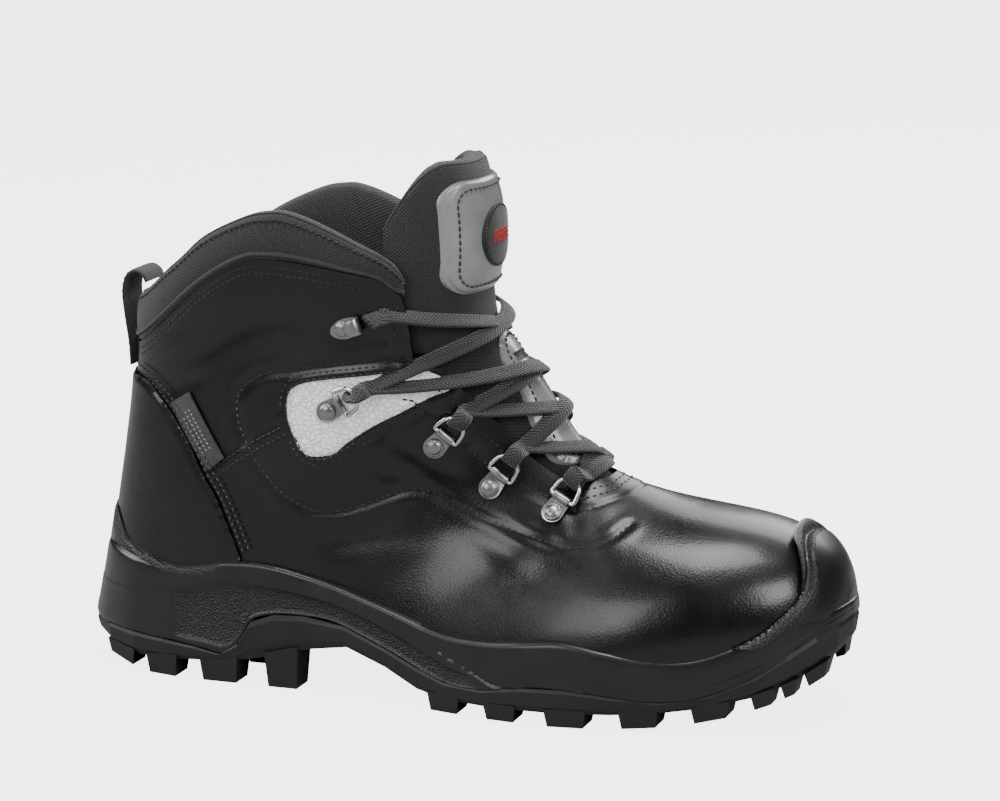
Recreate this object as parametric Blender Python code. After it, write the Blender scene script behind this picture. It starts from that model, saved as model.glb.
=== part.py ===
"""Metatarsal guard work boot, right foot, built from its last outwards.

Sizes in the tables are millimetres. X runs from the back of the heel to the toe, Y from the outer side
of the foot (negative) to the inner side, and Z up from the floor. Meshes are made in metres, and moved
at the end so that the origin lies on the floor under the middle of the boot.
"""

import math
from collections import namedtuple

import bmesh
import bpy
import numpy as np
from mathutils import Matrix, Vector

MM = 0.001

# Main sizes of the boot, in millimetres
LEATHER = 2.2
FIT_GAP = 0.3
COLLAR_PAD = 8.0
COLLAR_DEPTH = 22.0
COLLAR_FRONT = 132.0
COLLAR_OVERLAP = 4.0
COUNTER_THICK = 1.5
INSOLE_THICK = 4.0
PANEL_POCKET = 1.2
PANEL_SET_IN = 0.1
PANEL_TO_THROAT = 0.4
TONGUE_PAD = 4.8
TOE_CAP = 3.0
HEEL_RISE = 2.6
BED_LAYER = 3.0
LAST_RINGS = 22
LAST_HALF_STEPS = 11
SOLE_STEPS = 26
HEEL_ROWS = 14.0
SHAFT_ROWS = 11.0
INSTEP_ROWS = 15.0
FLAT_ENOUGH = (1.0, 0.7, 0.4, 0.2)
OUTER = -1
INNER = 1

# The last, as a fan of section planes from the top of the shaft round the ankle to the toe. Each plane
# runs from a bottom (or back) point to a top (or front) point. outer and inner are its half widths,
# widest is where they lie between bottom and top, and the powers square off its lower and upper half.
Section = namedtuple(
    "Section",
    "bottom_x bottom_z top_x top_z outer inner widest bottom_power top_power ridge_y",
)
LAST_SECTIONS = (
    Section(27.0, 214.0, 172.0, 214.0, 41.0, 41.0, 0.50, 2.2, 3.0, 0.0),
    Section(24.5, 188.0, 171.0, 193.0, 41.0, 41.0, 0.50, 2.2, 3.0, 0.0),
    Section(21.0, 160.0, 170.0, 172.0, 40.0, 40.0, 0.50, 2.2, 2.9, 0.0),
    Section(19.0, 136.0, 170.0, 156.0, 38.5, 38.5, 0.50, 2.2, 2.7, 0.0),
    Section(17.5, 112.0, 173.0, 144.0, 38.0, 38.0, 0.47, 2.2, 2.4, 0.0),
    Section(14.5, 88.0, 179.0, 135.0, 38.5, 38.0, 0.44, 2.3, 2.2, 0.5),
    Section(10.5, 62.0, 186.5, 126.0, 39.0, 38.0, 0.41, 2.4, 2.1, 1.0),
    Section(7.5, 38.0, 193.0, 116.5, 39.0, 37.5, 0.37, 2.6, 2.0, 1.5),
    Section(12.0, 14.0, 199.0, 107.5, 38.5, 37.0, 0.34, 3.6, 1.95, 2.0),
    Section(42.0, 9.0, 205.0, 99.5, 38.0, 36.0, 0.32, 5.0, 1.9, 2.5),
    Section(80.0, 7.0, 211.0, 93.0, 38.0, 35.0, 0.30, 6.0, 1.9, 3.0),
    Section(120.0, 3.0, 218.0, 88.0, 41.0, 36.5, 0.28, 6.0, 1.9, 3.5),
    Section(158.0, 0.0, 227.0, 84.5, 46.5, 41.0, 0.28, 6.0, 1.95, 4.0),
    Section(190.0, -3.0, 238.0, 81.5, 50.5, 45.5, 0.28, 6.0, 2.0, 4.5),
    Section(218.0, -3.0, 251.0, 79.0, 51.0, 47.5, 0.29, 6.0, 2.1, 5.0),
    Section(242.0, 0.0, 264.0, 77.0, 48.0, 47.0, 0.30, 6.0, 2.2, 5.0),
    Section(262.0, 3.0, 276.0, 75.0, 43.0, 44.5, 0.31, 5.5, 2.3, 5.0),
    Section(279.0, 6.0, 286.5, 72.5, 36.5, 40.5, 0.33, 5.0, 2.4, 5.0),
    Section(292.0, 9.0, 296.0, 69.0, 29.5, 35.0, 0.36, 4.0, 2.4, 5.0),
    Section(301.0, 13.0, 303.0, 63.5, 21.5, 28.5, 0.40, 3.0, 2.4, 5.0),
    Section(307.0, 19.0, 307.5, 56.5, 13.0, 21.5, 0.44, 2.5, 2.3, 5.0),
    Section(310.3, 27.0, 310.4, 48.5, 4.5, 13.5, 0.48, 2.2, 2.2, 5.0),
)
TOE_TIP = (311.6, 4.5, 38.0)

# The sole, station by station from heel to toe: its outline to the outer and inner side, the floor
# height of the lugs, the ground between them, the line where rubber meets the softer midsole, the
# lower edge of the midsole's bead, and the midsole's top edge
SoleStation = namedtuple("SoleStation", "x outer inner tread ground line shelf edge")
SOLE_STATIONS = (
    SoleStation(0.0, -9.0, 7.0, 8.0, 11.5, 17.0, 34.0, 50.0),
    SoleStation(4.0, -19.5, 17.0, 7.0, 10.5, 17.0, 34.0, 50.0),
    SoleStation(12.0, -29.0, 26.5, 5.0, 8.5, 17.0, 34.0, 49.5),
    SoleStation(24.0, -36.3, 33.8, 2.2, 7.0, 16.8, 34.0, 47.5),
    SoleStation(36.0, -39.3, 37.2, 0.0, 6.6, 15.8, 34.5, 46.0),
    SoleStation(48.0, -41.2, 39.4, 0.0, 7.4, 15.2, 36.5, 45.5),
    SoleStation(60.0, -41.6, 40.0, 0.0, 8.4, 13.4, 40.0, 47.6),
    SoleStation(70.0, -41.6, 40.0, 0.0, 9.2, 12.0, 41.4, 49.4),
    SoleStation(76.0, -41.5, 39.8, 0.0, 10.0, 18.0, 41.7, 50.0),
    SoleStation(81.0, -41.4, 39.6, 0.0, 11.0, 26.6, 41.5, 50.1),
    SoleStation(90.0, -41.3, 39.4, 0.0, 13.0, 30.0, 40.8, 49.5),
    SoleStation(101.0, -41.3, 39.2, 0.0, 16.0, 30.8, 39.5, 47.5),
    SoleStation(116.0, -42.2, 39.4, 0.0, 20.0, 30.0, 37.2, 44.2),
    SoleStation(132.0, -44.2, 40.4, 0.0, 17.0, 24.8, 32.6, 39.8),
    SoleStation(146.0, -46.4, 42.0, 0.0, 10.0, 19.6, 27.6, 35.8),
    SoleStation(158.0, -48.7, 43.2, 0.0, 6.0, 14.8, 22.6, 32.4),
    SoleStation(170.0, -51.2, 45.4, 0.0, 4.8, 11.8, 18.2, 30.6),
    SoleStation(185.0, -53.4, 48.0, 0.0, 5.0, 12.2, 16.4, 30.6),
    SoleStation(200.0, -54.6, 50.0, 0.0, 5.2, 15.0, 18.4, 32.2),
    SoleStation(215.0, -54.4, 51.2, 0.0, 5.4, 15.6, 19.0, 33.6),
    SoleStation(232.0, -52.6, 51.6, 0.8, 6.2, 14.2, 17.8, 30.8),
    SoleStation(248.0, -49.9, 50.8, 2.0, 7.4, 12.8, 16.8, 28.9),
    SoleStation(264.0, -46.0, 48.3, 4.3, 9.3, 14.3, 18.2, 29.2),
    SoleStation(279.0, -40.3, 44.2, 7.2, 12.0, 19.3, 23.2, 34.0),
    SoleStation(291.0, -33.8, 38.9, 11.0, 15.4, 25.8, 29.2, 39.5),
    SoleStation(300.0, -26.6, 33.4, 14.8, 18.8, 32.6, 35.6, 43.0),
    SoleStation(307.5, -18.4, 26.4, 19.2, 23.2, 37.2, 39.9, 44.6),
    SoleStation(312.5, -9.6, 18.4, 23.0, 26.8, 39.6, 42.2, 45.6),
    SoleStation(315.0, 0.5, 8.5, 26.0, 29.5, 40.8, 43.2, 46.2),
)

# The rings of the midsole's side from its foot to its rim: the two heights it lies between, the share
# of the way up, how far it is set in, how far the hollow panel of the side sets it in further, and how
# far the back of the heel leans forward there
SideRing = namedtuple("SideRing", "low high share inset hollow lean")
MIDSOLE_RINGS = (
    SideRing("line", "shelf", 0.00, 0.3, 0.0, 0.0),
    SideRing("line", "shelf", 0.18, 0.0, 1.1, 0.2),
    SideRing("line", "shelf", 0.92, 0.1, 1.1, 3.0),
    SideRing("shelf", "edge", 0.08, 0.2, 0.0, 3.7),
    SideRing("shelf", "edge", 0.82, 0.8, 0.0, 5.6),
    SideRing("shelf", "edge", 1.00, 1.8, 0.0, 6.4),
)
OUTSOLE_RINGS = (
    SideRing("ground", "line", 0.00, 2.4, 0.0, 0.0),
    SideRing("ground", "line", 0.28, 0.8, 0.0, 0.0),
    SideRing("ground", "line", 0.85, 0.0, 0.0, 0.0),
    SideRing("ground", "line", 1.00, 0.5, 0.0, 0.0),
)
HOLLOW_START = 47.0
HOLLOW_END = 186.0
LEAN_END = 42.0

# Lugs: where each starts and ends along the boot. Edge lugs stand on both sides of the sole.
EDGE_LUGS = (
    (13.0, 28.0),
    (34.0, 48.5),
    (58.5, 75.0),
    (86.5, 101.0),
    (158.0, 172.0),
    (182.5, 196.0),
    (207.5, 224.0),
    (236.5, 251.5),
    (263.5, 277.0),
    (284.5, 292.5),
    (294.5, 300.0),
    (302.0, 309.0),
)
EDGE_LUG_DEPTH = 15.0
MiddleLug = namedtuple("MiddleLug", "start end half_width")
MIDDLE_LUGS = (
    MiddleLug(40.0, 54.0, 12.0),
    MiddleLug(66.0, 82.0, 12.0),
    MiddleLug(176.0, 190.0, 18.0),
    MiddleLug(202.0, 216.0, 20.0),
    MiddleLug(229.0, 243.0, 20.0),
    MiddleLug(256.0, 269.0, 16.0),
    MiddleLug(280.0, 288.0, 11.0),
)
MIDDLE_Y = 0.5
LUG_TAPER = 1.2
LUG_ROOT = 1.8
LUG_BELOW_LINE = 1.0
LUG_INSET = 0.9
TOE_LUGS_START = 280.0
TOE_LUG_SHARE = 0.75

# Side-view outlines, as x and z
FOOT_BED = (
    (-6.0, 37.0),
    (20.0, 36.0),
    (60.0, 35.5),
    (90.0, 34.9),
    (110.0, 33.4),
    (130.0, 28.6),
    (150.0, 23.6),
    (170.0, 19.6),
    (190.0, 18.3),
    (235.0, 18.2),
    (255.0, 19.2),
    (275.0, 21.6),
    (290.0, 24.6),
    (303.0, 28.2),
    (320.0, 33.6),
)
LEATHER_TOP = (
    (-20.0, 131.5),
    (18.0, 131.5),
    (25.0, 131.0),
    (38.0, 140.0),
    (60.0, 159.0),
    (78.0, 170.0),
    (91.0, 171.6),
    (104.0, 170.8),
    (120.0, 168.5),
    (134.0, 166.0),
    (143.0, 160.0),
)
QUARTER_FRONT = ((145.0, 152.0), (146.0, 140.0), (147.0, 131.0))
COLLAR_TOP = (
    (-20.0, 150.0),
    (21.0, 150.0),
    (45.0, 166.0),
    (60.0, 179.0),
    (78.0, 188.0),
    (89.0, 190.4),
    (96.0, 190.0),
    (107.0, 186.6),
    (122.5, 180.0),
    (138.0, 172.0),
    (145.5, 162.6),
)
COUNTER_TOP = (
    (-20.0, 118.5),
    (24.4, 117.6),
    (31.6, 116.3),
    (40.2, 110.7),
    (45.8, 105.7),
    (54.0, 95.7),
    (60.2, 84.8),
    (67.4, 74.0),
    (73.3, 60.3),
    (76.5, 51.8),
)
HEEL_EDGE = (
    (-20.0, 63.5),
    (10.0, 63.0),
    (15.6, 61.2),
    (22.4, 54.0),
    (29.2, 50.5),
    (40.1, 48.0),
    (49.6, 46.6),
    (58.6, 47.6),
    (71.7, 49.9),
    (84.5, 50.4),
)
HEEL_RISE_FOOT = ((84.5, 44.0), (49.6, 43.0), (20.0, 38.0), (-20.0, 38.0))
TOE_CAP_EDGE = (
    (278.0, 34.0),
    (287.0, 39.0),
    (293.6, 44.8),
    (299.2, 52.0),
    (299.8, 58.8),
    (296.3, 67.6),
    (291.5, 74.0),
    (289.0, 84.0),
)
TOE_CAP_FOOT = ((340.0, 84.0), (340.0, 42.4), (300.0, 42.4), (288.0, 34.0))
PANEL_OUTLINE = (
    (96.8, 115.5),
    (98.0, 120.0),
    (103.5, 123.5),
    (114.5, 125.8),
    (130.2, 128.0),
    (141.6, 129.4),
    (160.0, 129.4),
    (160.0, 122.9),
    (153.0, 119.8),
    (141.6, 113.4),
    (132.1, 108.3),
    (122.2, 101.6),
    (116.2, 96.5),
    (111.0, 95.0),
    (105.3, 95.0),
    (101.7, 97.6),
    (99.3, 103.0),
    (97.2, 108.5),
)
LABEL_OUTLINE = ((44.6, 110.3), (53.6, 115.9), (70.1, 91.5), (62.5, 85.5))
TONGUE_TOP = (
    (110.0, 176.0),
    (131.0, 181.0),
    (135.0, 187.0),
    (142.0, 197.0),
    (150.0, 204.5),
    (157.0, 208.6),
    (165.0, 209.6),
    (190.0, 206.0),
)

# The pull loop's side view, and its size
LOOP_PATH = (
    (16.3, 119.2),
    (15.9, 128.0),
    (14.2, 140.0),
    (13.4, 149.0),
    (15.0, 155.2),
    (18.6, 157.6),
    (22.0, 156.2),
    (23.6, 153.2),
)
LOOP_THICK = 1.8
LOOP_HALF_WIDTH = 9.0
LOOP_STEPS = 15

# The throat, drawn on a plane that leans along the instep: how far down it a place lies from the
# reference point, and the half width of the opening there
THROAT_REFERENCE = (166.0, 0.0, 150.0)
THROAT_DOWN = (0.6, 0.0, -0.8)
THROAT_EDGE = (
    (-30.0, 34.0),
    (-13.0, 33.0),
    (-4.0, 31.0),
    (4.0, 30.0),
    (17.0, 27.0),
    (28.0, 23.5),
    (48.0, 18.5),
    (62.0, 16.0),
    (72.0, 14.0),
    (78.0, 10.0),
    (80.5, 4.0),
)
THROAT_Y = 1.5
STRIP_START = 10.0
STRIP_END = 71.0
STRIP_HALF_WIDTH = 11.5
STRIP_SLOT = (20.0, 24.0, 6.5)
STRIP_TOP = 0.8
STRIP_UNDER = 2.3
STRIP_CORNER = 10.5

# The padded top of the tongue, level by level: its front, its side edges and its half width
TongueLevel = namedtuple("TongueLevel", "z front edge half_width")
TONGUE_LEVELS = (
    TongueLevel(136.0, 166.0, 140.0, 26.0),
    TongueLevel(144.0, 168.4, 138.0, 27.5),
    TongueLevel(150.0, 166.8, 137.0, 28.5),
    TongueLevel(157.0, 165.2, 136.0, 29.0),
    TongueLevel(165.0, 167.0, 135.0, 29.0),
    TongueLevel(178.0, 168.0, 134.0, 29.0),
    TongueLevel(192.0, 167.0, 134.0, 29.0),
    TongueLevel(203.0, 164.5, 133.0, 28.5),
    TongueLevel(216.0, 160.0, 132.0, 28.0),
)
TONGUE_TOP_PAD = 9.0
TONGUE_UNDER = 0.4
TONGUE_MARGIN = 7.0
TONGUE_SPAN = (-4.0, 90.0)
TONGUE_BEND_Z = 147.0
TONGUE_BACK = ((0.0, 0.0), (136.0, 0.0), (136.0, 260.0), (0.0, 260.0))
TONGUE_ROUNDNESS = 2.3
PATCH_CENTRE_Z = 180.5
PATCH_SIZE = (50.0, 44.0, 9.0)
PATCH_THICK = 1.5
BADGE_CENTRE_Z = 180.0
BADGE_SIZE = (27.0, 25.0)
BADGE_THICK = 1.1
LABEL_THICK = 0.8

# Fittings, placed on the last by the row of its section and the share of the way round that section
# from its top, for the rivet and for the middle of the ring or hook
Fitting = namedtuple("Fitting", "name rivet_row rivet_share ring_row ring_share")
EYELETS = (
    Fitting("1", 10.8, -0.18, 10.6, -0.13),
    Fitting("2", 8.9, -0.19, 8.4, -0.13),
    Fitting("3", 7.0, -0.23, 6.6, -0.19),
    Fitting("4", 5.2, -0.41, 5.0, -0.36),
)
HOOK = Fitting("hook", 3.2, -0.37, 3.1, -0.33)
SEAT_REACH = 10.0
RIVET_TO_PIVOT = 6.2
WIRE_RADIUS = 0.9
WIRE_SIDES = 4
RING_HALF_WIDTH = 5.3
RING_STRAIGHT = 2.2
RING_CORNER = 0.7
RING_REACH = 6.0
RING_LIFT = 14.0
KNUCKLE_RADIUS = 1.8
KNUCKLE_BORE = 1.28
KNUCKLE_HALF = 3.7
PLATE_THICK = 0.9
PLATE_STANDOFF = 0.45
PLATE_END_RADIUS = 4.4
RIVET_RADIUS = 3.4
RIVET_HEIGHT = 1.5
RIVET_RIM = 0.5
RIVET_SUNK = 0.2
HOOK_PLATE = (11.5, 8.0, 3.9)
HOOK_FORWARD = 1.6
HOOK_CURL = (
    (5.0, 1.0),
    (7.6, 1.2),
    (9.6, 2.4),
    (10.1, 4.2),
    (8.9, 5.9),
    (6.4, 6.7),
    (3.4, 6.5),
    (1.2, 5.8),
)
HOOK_THICK = 1.1
HOOK_HALF_WIDTH = 3.1

# Laces, as flat bands
LACE_WIDTH = 7.2
LACE_THICK = 1.8
LACE_HEIGHT = 2.8
LACE_CROSSING_LIFT = 1.8
LACE_CLEAR = 4.6
LACE_OVERRUN = 0.04
LACE_STEPS = 8

X_AXIS = Vector((1.0, 0.0, 0.0))
Y_AXIS = Vector((0.0, 1.0, 0.0))
Z_AXIS = Vector((0.0, 0.0, 1.0))
ORIGIN = Vector((0.0, 0.0, 0.0))
WIDE = 90.0
MERGE = 0.001


def through(points, positions):
    """Values at fractional positions on a smooth curve that passes through every point."""
    points = np.asarray(points, float)
    last = len(points) - 1
    padded = np.vstack([2 * points[0] - points[1], points, 2 * points[-1] - points[-2]])
    found = []
    for position in positions:
        span = min(int(position), last - 1)
        t = position - span
        a, b, c, d = padded[span : span + 4]
        found.append(
            0.5 * (2 * b + (c - a) * t + (2 * a - 5 * b + 4 * c - d) * t**2 + (3 * b - a - 3 * c + d) * t**3)
        )
    return np.array(found)


def evenly_spaced(points, count):
    """The polyline again, as count points an equal distance apart."""
    steps = np.linalg.norm(np.diff(points, axis=0), axis=1)
    travelled = np.concatenate([[0.0], np.cumsum(steps)])
    wanted = np.linspace(0.0, travelled[-1], count)
    return np.stack([np.interp(wanted, travelled, column) for column in points.T], axis=1)


def half_section(section, side):
    """Points of one side of a section, from its top point round to its bottom point."""
    width = section.outer if side == OUTER else section.inner
    turn = np.linspace(0.0, math.pi, 181)
    rise, out = np.cos(turn), np.sin(turn)
    power = np.where(rise > 0, section.top_power, section.bottom_power)
    share = np.where(rise > 0, 1.0 - section.widest, section.widest)
    height = section.widest + share * np.sign(rise) * np.abs(rise) ** (2 / power)
    x = section.bottom_x + height * (section.top_x - section.bottom_x)
    z = section.bottom_z + height * (section.top_z - section.bottom_z)
    y = side * width * np.abs(out) ** (2 / power) + section.ridge_y * rise**2
    return evenly_spaced(np.stack([x, y, z], axis=1), LAST_HALF_STEPS + 1)


def last_grid(rows):
    """The surface of the last as a grid of points: one line for each row, closed on itself."""
    lines = []
    for values in through(LAST_SECTIONS, rows):
        section = Section(*values)
        outer = half_section(section, OUTER)
        inner = half_section(section, INNER)
        lines.append(np.vstack([outer, inner[-2:0:-1]]))
    return np.array(lines)


def grid_normals(grid):
    """A unit vector out of the surface at each point of a grid of closed lines."""
    around = np.roll(grid, -1, axis=1) - np.roll(grid, 1, axis=1)
    along = np.gradient(grid, axis=0)
    normals = np.cross(around, along)
    normals /= np.linalg.norm(normals, axis=2, keepdims=True)
    outward = grid - grid.mean(axis=1, keepdims=True)
    return normals * np.sign((normals * outward).sum())


def surface_point(row, share):
    """A place on the last, by row and by share of the way round. Negative shares are the outer side."""
    section = Section(*through(LAST_SECTIONS, [row])[0])
    half = half_section(section, OUTER if share < 0 else INNER)
    stations = np.linspace(0.0, 1.0, len(half))
    return Vector([np.interp(abs(share), stations, column) for column in half.T])


def on_last(row, share):
    """The point and outward direction at a place on the last."""
    along = surface_point(row + 0.3, share) - surface_point(row - 0.3, share)
    around = surface_point(row, share + 0.04) - surface_point(row, share - 0.04)
    return surface_point(row, share), along.cross(around).normalized()


def mesh_object(name, points, faces):
    """An object from points in millimetres, as triangles that face outwards."""
    mesh = bpy.data.meshes.new(name)
    mesh.from_pydata([tuple(Vector(point) * MM) for point in points], [], faces)
    body = bmesh.new()
    body.from_mesh(mesh)
    bmesh.ops.recalc_face_normals(body, faces=body.faces)
    bmesh.ops.triangulate(body, faces=body.faces)
    body.to_mesh(mesh)
    body.free()
    made = bpy.data.objects.new(name, mesh)
    bpy.context.scene.collection.objects.link(made)
    return made


def stacked_rings(name, rings, end_faces=None):
    """A closed solid through rings of equally many points, with a face over each end."""
    count = len(rings[0])
    points = [point for ring in rings for point in ring]
    faces = []
    for level in range(len(rings) - 1):
        low, high = level * count, (level + 1) * count
        for step in range(count):
            after = (step + 1) % count
            faces.append((low + step, low + after, high + after))
            faces.append((low + step, high + after, high + step))
    ends = end_faces or [list(range(count))]
    top = (len(rings) - 1) * count
    faces += [tuple(end) for end in ends]
    faces += [tuple(top + corner for corner in end) for end in ends]
    return mesh_object(name, points, faces)


def combine(base, tool, operation):
    """Join, cut or intersect the base with a tool, which is used up."""
    modifier = base.modifiers.new(tool.name, "BOOLEAN")
    modifier.operation = operation
    modifier.solver = "EXACT"
    modifier.object = tool
    shown = base.evaluated_get(bpy.context.evaluated_depsgraph_get())
    result = bpy.data.meshes.new_from_object(shown)
    body = bmesh.new()
    body.from_mesh(result)
    bmesh.ops.triangulate(body, faces=body.faces)
    body.to_mesh(result)
    body.free()
    base.modifiers.clear()
    base.data = result
    bpy.data.objects.remove(tool)
    return base


def main_body(made):
    """Drop any loose sliver or pocket that a join leaves beside the main body."""
    body = bmesh.new()
    body.from_mesh(made.data)
    bmesh.ops.remove_doubles(body, verts=body.verts, dist=MERGE * MM)
    waiting = set(body.faces)
    groups = []
    while waiting:
        group = {waiting.pop()}
        edge_of_group = list(group)
        while edge_of_group:
            near = {face for edge in edge_of_group.pop().edges for face in edge.link_faces}
            fresh = near & waiting
            waiting -= fresh
            group |= fresh
            edge_of_group += list(fresh)
        groups.append(group)
    groups.sort(key=len)
    for group in groups[:-1]:
        bmesh.ops.delete(body, geom=list(group), context="FACES")
    body.to_mesh(made.data)
    body.free()
    return made


def joined(base, tool):
    """The base with the tool added to it."""
    return combine(base, tool, "UNION")


def cut(base, tool):
    """The base with the tool's space taken out of it."""
    return combine(base, tool, "DIFFERENCE")


def shared(base, tool):
    """What the base and the tool have in common."""
    return combine(base, tool, "INTERSECT")


def prism(name, outline, origin, across, up, near, far):
    """A straight solid whose outline is drawn along across and up, from depth near to depth far."""
    deep = across.cross(up)
    rings = []
    for depth in (near, far):
        rings.append([origin + across * a + up * b + deep * depth for a, b in outline])
    return stacked_rings(name, rings)


def side_prism(name, outline, sides=(OUTER, INNER)):
    """A straight solid with this side view, across the whole boot or one side of it."""
    near = -WIDE if INNER in sides else 0.0
    far = WIDE if OUTER in sides else 0.0
    return prism(name, outline, ORIGIN, X_AXIS, Z_AXIS, near, far)


def raised(line, height):
    """A side-view line moved up."""
    return [(x, z + height) for x, z in line]


def above(name, line, height=0.0):
    """Everything above a side-view line."""
    lifted = raised(line, height)
    return side_prism(name, lifted + [(lifted[-1][0], 260.0), (lifted[0][0], 260.0)])


def below(name, line, height=0.0):
    """Everything below a side-view line."""
    lifted = raised(line, height)
    return side_prism(name, lifted + [(lifted[-1][0], -40.0), (lifted[0][0], -40.0)])


def between(name, low, high, sides=(OUTER, INNER)):
    """Everything between two side-view lines."""
    return side_prism(name, list(low) + list(reversed(high)), sides)


def widened(outline, margin):
    """A closed outline moved outwards by a margin."""
    points = np.array(outline, float)
    edges = np.roll(points, -1, axis=0) - points
    area = (points[:, 0] * np.roll(points[:, 1], -1) - points[:, 1] * np.roll(points[:, 0], -1)).sum()
    out = np.stack([edges[:, 1], -edges[:, 0]], axis=1) * np.sign(area)
    out /= np.linalg.norm(out, axis=1, keepdims=True)
    corner = out + np.roll(out, 1, axis=0)
    corner /= np.linalg.norm(corner, axis=1, keepdims=True)
    return [tuple(point) for point in points + corner * margin]


def rounded_outline(width, height, radius, corner_steps=4):
    """A rectangle about the origin with round corners."""
    outline = []
    for quarter in range(4):
        side_x = 1 if quarter in (0, 3) else -1
        side_y = 1 if quarter in (0, 1) else -1
        for step in range(corner_steps + 1):
            turn = math.radians(90.0 * (quarter + step / corner_steps))
            outline.append(
                (
                    side_x * (width / 2 - radius) + radius * math.cos(turn),
                    side_y * (height / 2 - radius) + radius * math.sin(turn),
                )
            )
    return outline


def oval_outline(width, height, steps=16):
    """An oval about the origin, as straight steps."""
    turns = [2 * math.pi * step / steps for step in range(steps)]
    return [(width / 2 * math.cos(turn), height / 2 * math.sin(turn)) for turn in turns]


def thick_path(path, thickness):
    """The closed outline of a flat band that follows a path."""
    points = np.array(path, float)
    along = np.gradient(points, axis=0)
    along /= np.linalg.norm(along, axis=1, keepdims=True)
    aside = np.stack([-along[:, 1], along[:, 0]], axis=1) * thickness / 2
    return [tuple(point) for point in np.vstack([points + aside, (points - aside)[::-1]])]


def form_rows(last_row=None):
    """The rows that every form of the last is built on, so that their facets lie alike."""
    rows = np.linspace(0.0, len(LAST_SECTIONS) - 1, LAST_RINGS)
    return rows if last_row is None else rows[rows < last_row]


def form(name, grow, last_row=None):
    """The solid last, grown outwards by some millimetres, or made smaller by a negative number."""
    grid = last_grid(form_rows(last_row))
    grown = grid + grid_normals(grid) * grow
    grown[0, :, 2] = grid[0, :, 2] - grow
    rings = [[Vector(point) for point in line] for line in grown]
    if last_row is None:
        tip = Vector(TOE_TIP) + X_AXIS * grow
        middle = Vector(grown[-1].mean(axis=0)) * 0.2 + tip * 0.8
        rings.append([middle.lerp(point, 0.45) + (tip - middle) * 0.5 for point in rings[-1]])
    return stacked_rings(name, rings)


def core(name, depth, last_row):
    """The inside of a thick pad: the last with every section made smaller all round by a depth."""
    smaller = []
    for row in form_rows(last_row):
        section = Section(*through(LAST_SECTIONS, [row])[0])
        length = math.hypot(section.top_x - section.bottom_x, section.top_z - section.bottom_z)
        shift_x = (section.top_x - section.bottom_x) / length * depth
        shift_z = (section.top_z - section.bottom_z) / length * depth
        smaller.append(
            section._replace(
                bottom_x=section.bottom_x + shift_x,
                bottom_z=section.bottom_z + shift_z,
                top_x=section.top_x - shift_x,
                top_z=section.top_z - shift_z,
                outer=section.outer - depth,
                inner=section.inner - depth,
            )
        )
    rings = []
    for section in smaller:
        outer = half_section(section, OUTER)
        inner = half_section(section, INNER)
        rings.append(list(np.vstack([outer, inner[-2:0:-1]])))
    rings.insert(0, [point + np.array([0.0, 0.0, depth]) for point in rings[0]])
    return stacked_rings(name, rings)


def shell(name, outside, inside, last_row=None):
    """The space between two sizes of the last, left open at the top of the shaft."""
    return cut(form(name, outside, last_row=last_row), form("hollow", inside, last_row=last_row))


def throat_prism(name, margin=0.0, start=None, end=None):
    """The U-shaped opening along the instep, wider all round by a margin."""
    outline = []
    for down, half_width in THROAT_EDGE:
        outline.append((down + (margin if half_width < 16 else 0.0), half_width + margin))
    if start is not None:
        outline[0] = (start, outline[0][1])
        outline = [outline[0]] + [point for point in outline[1:] if point[0] > start]
    if end is not None:
        outline[-1] = (end, outline[-1][1])
    other_side = [(down, -half_width) for down, half_width in reversed(outline)]
    origin = Vector(THROAT_REFERENCE) + Y_AXIS * THROAT_Y
    return prism(name, outline + other_side, origin, Vector(THROAT_DOWN), Y_AXIS, -42.0, 60.0)


def make_upper():
    """The leather upper: one hollow wall, open at the collar, the throat and underneath."""
    upper = shell("upper", 0.0, -LEATHER)
    cut(upper, below("bed", FOOT_BED, FIT_GAP))
    cut(upper, above("collar_line", LEATHER_TOP + QUARTER_FRONT + ((320.0, 131.0),)))
    cut(upper, throat_prism("throat"))
    for side in (OUTER, INNER):
        pocket = shell("pocket", 1.0, -PANEL_POCKET, last_row=HEEL_ROWS)
        shared(pocket, side_prism("outline", widened(PANEL_OUTLINE, FIT_GAP), (side,)))
        cut(upper, pocket)
    return upper


def make_side_panel(name, side):
    """A light panel let into the quarter behind the eyelets."""
    panel = shell(name, -PANEL_SET_IN, -PANEL_POCKET + FIT_GAP, last_row=HEEL_ROWS)
    shared(panel, side_prism("outline", PANEL_OUTLINE, (side,)))
    return cut(panel, throat_prism("throat", PANEL_TO_THROAT))


def make_collar():
    """The padded cloth collar above the leather, with its pad reaching down inside the quarter."""
    leather_line = raised(LEATHER_TOP, FIT_GAP)
    collar = form("collar", 0.0, last_row=SHAFT_ROWS)
    shared(collar, between("cloth", leather_line, COLLAR_TOP))
    pad = form("pad", -LEATHER - FIT_GAP, last_row=SHAFT_ROWS)
    pad_line = [point for point in LEATHER_TOP if point[0] < COLLAR_FRONT] + [(COLLAR_FRONT, 166.4)]
    shared(pad, between("band", raised(pad_line, -COLLAR_DEPTH), raised(pad_line, COLLAR_OVERLAP)))
    joined(collar, pad)
    cut(collar, core("hollow", COLLAR_PAD, SHAFT_ROWS))
    return cut(collar, tongue_band("tongue_room", 1.5 * FIT_GAP, -TONGUE_TOP_PAD))


def make_heel_counter():
    """The leather piece wrapped round the back of the heel."""
    counter = shell("heel_counter", FIT_GAP + COUNTER_THICK, FIT_GAP, last_row=HEEL_ROWS)
    foot = [point for point in raised(HEEL_EDGE, 0.8) if point[0] < 76.0] + [(76.6, 51.4)]
    return shared(counter, between("outline", foot, COUNTER_TOP))


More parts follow.
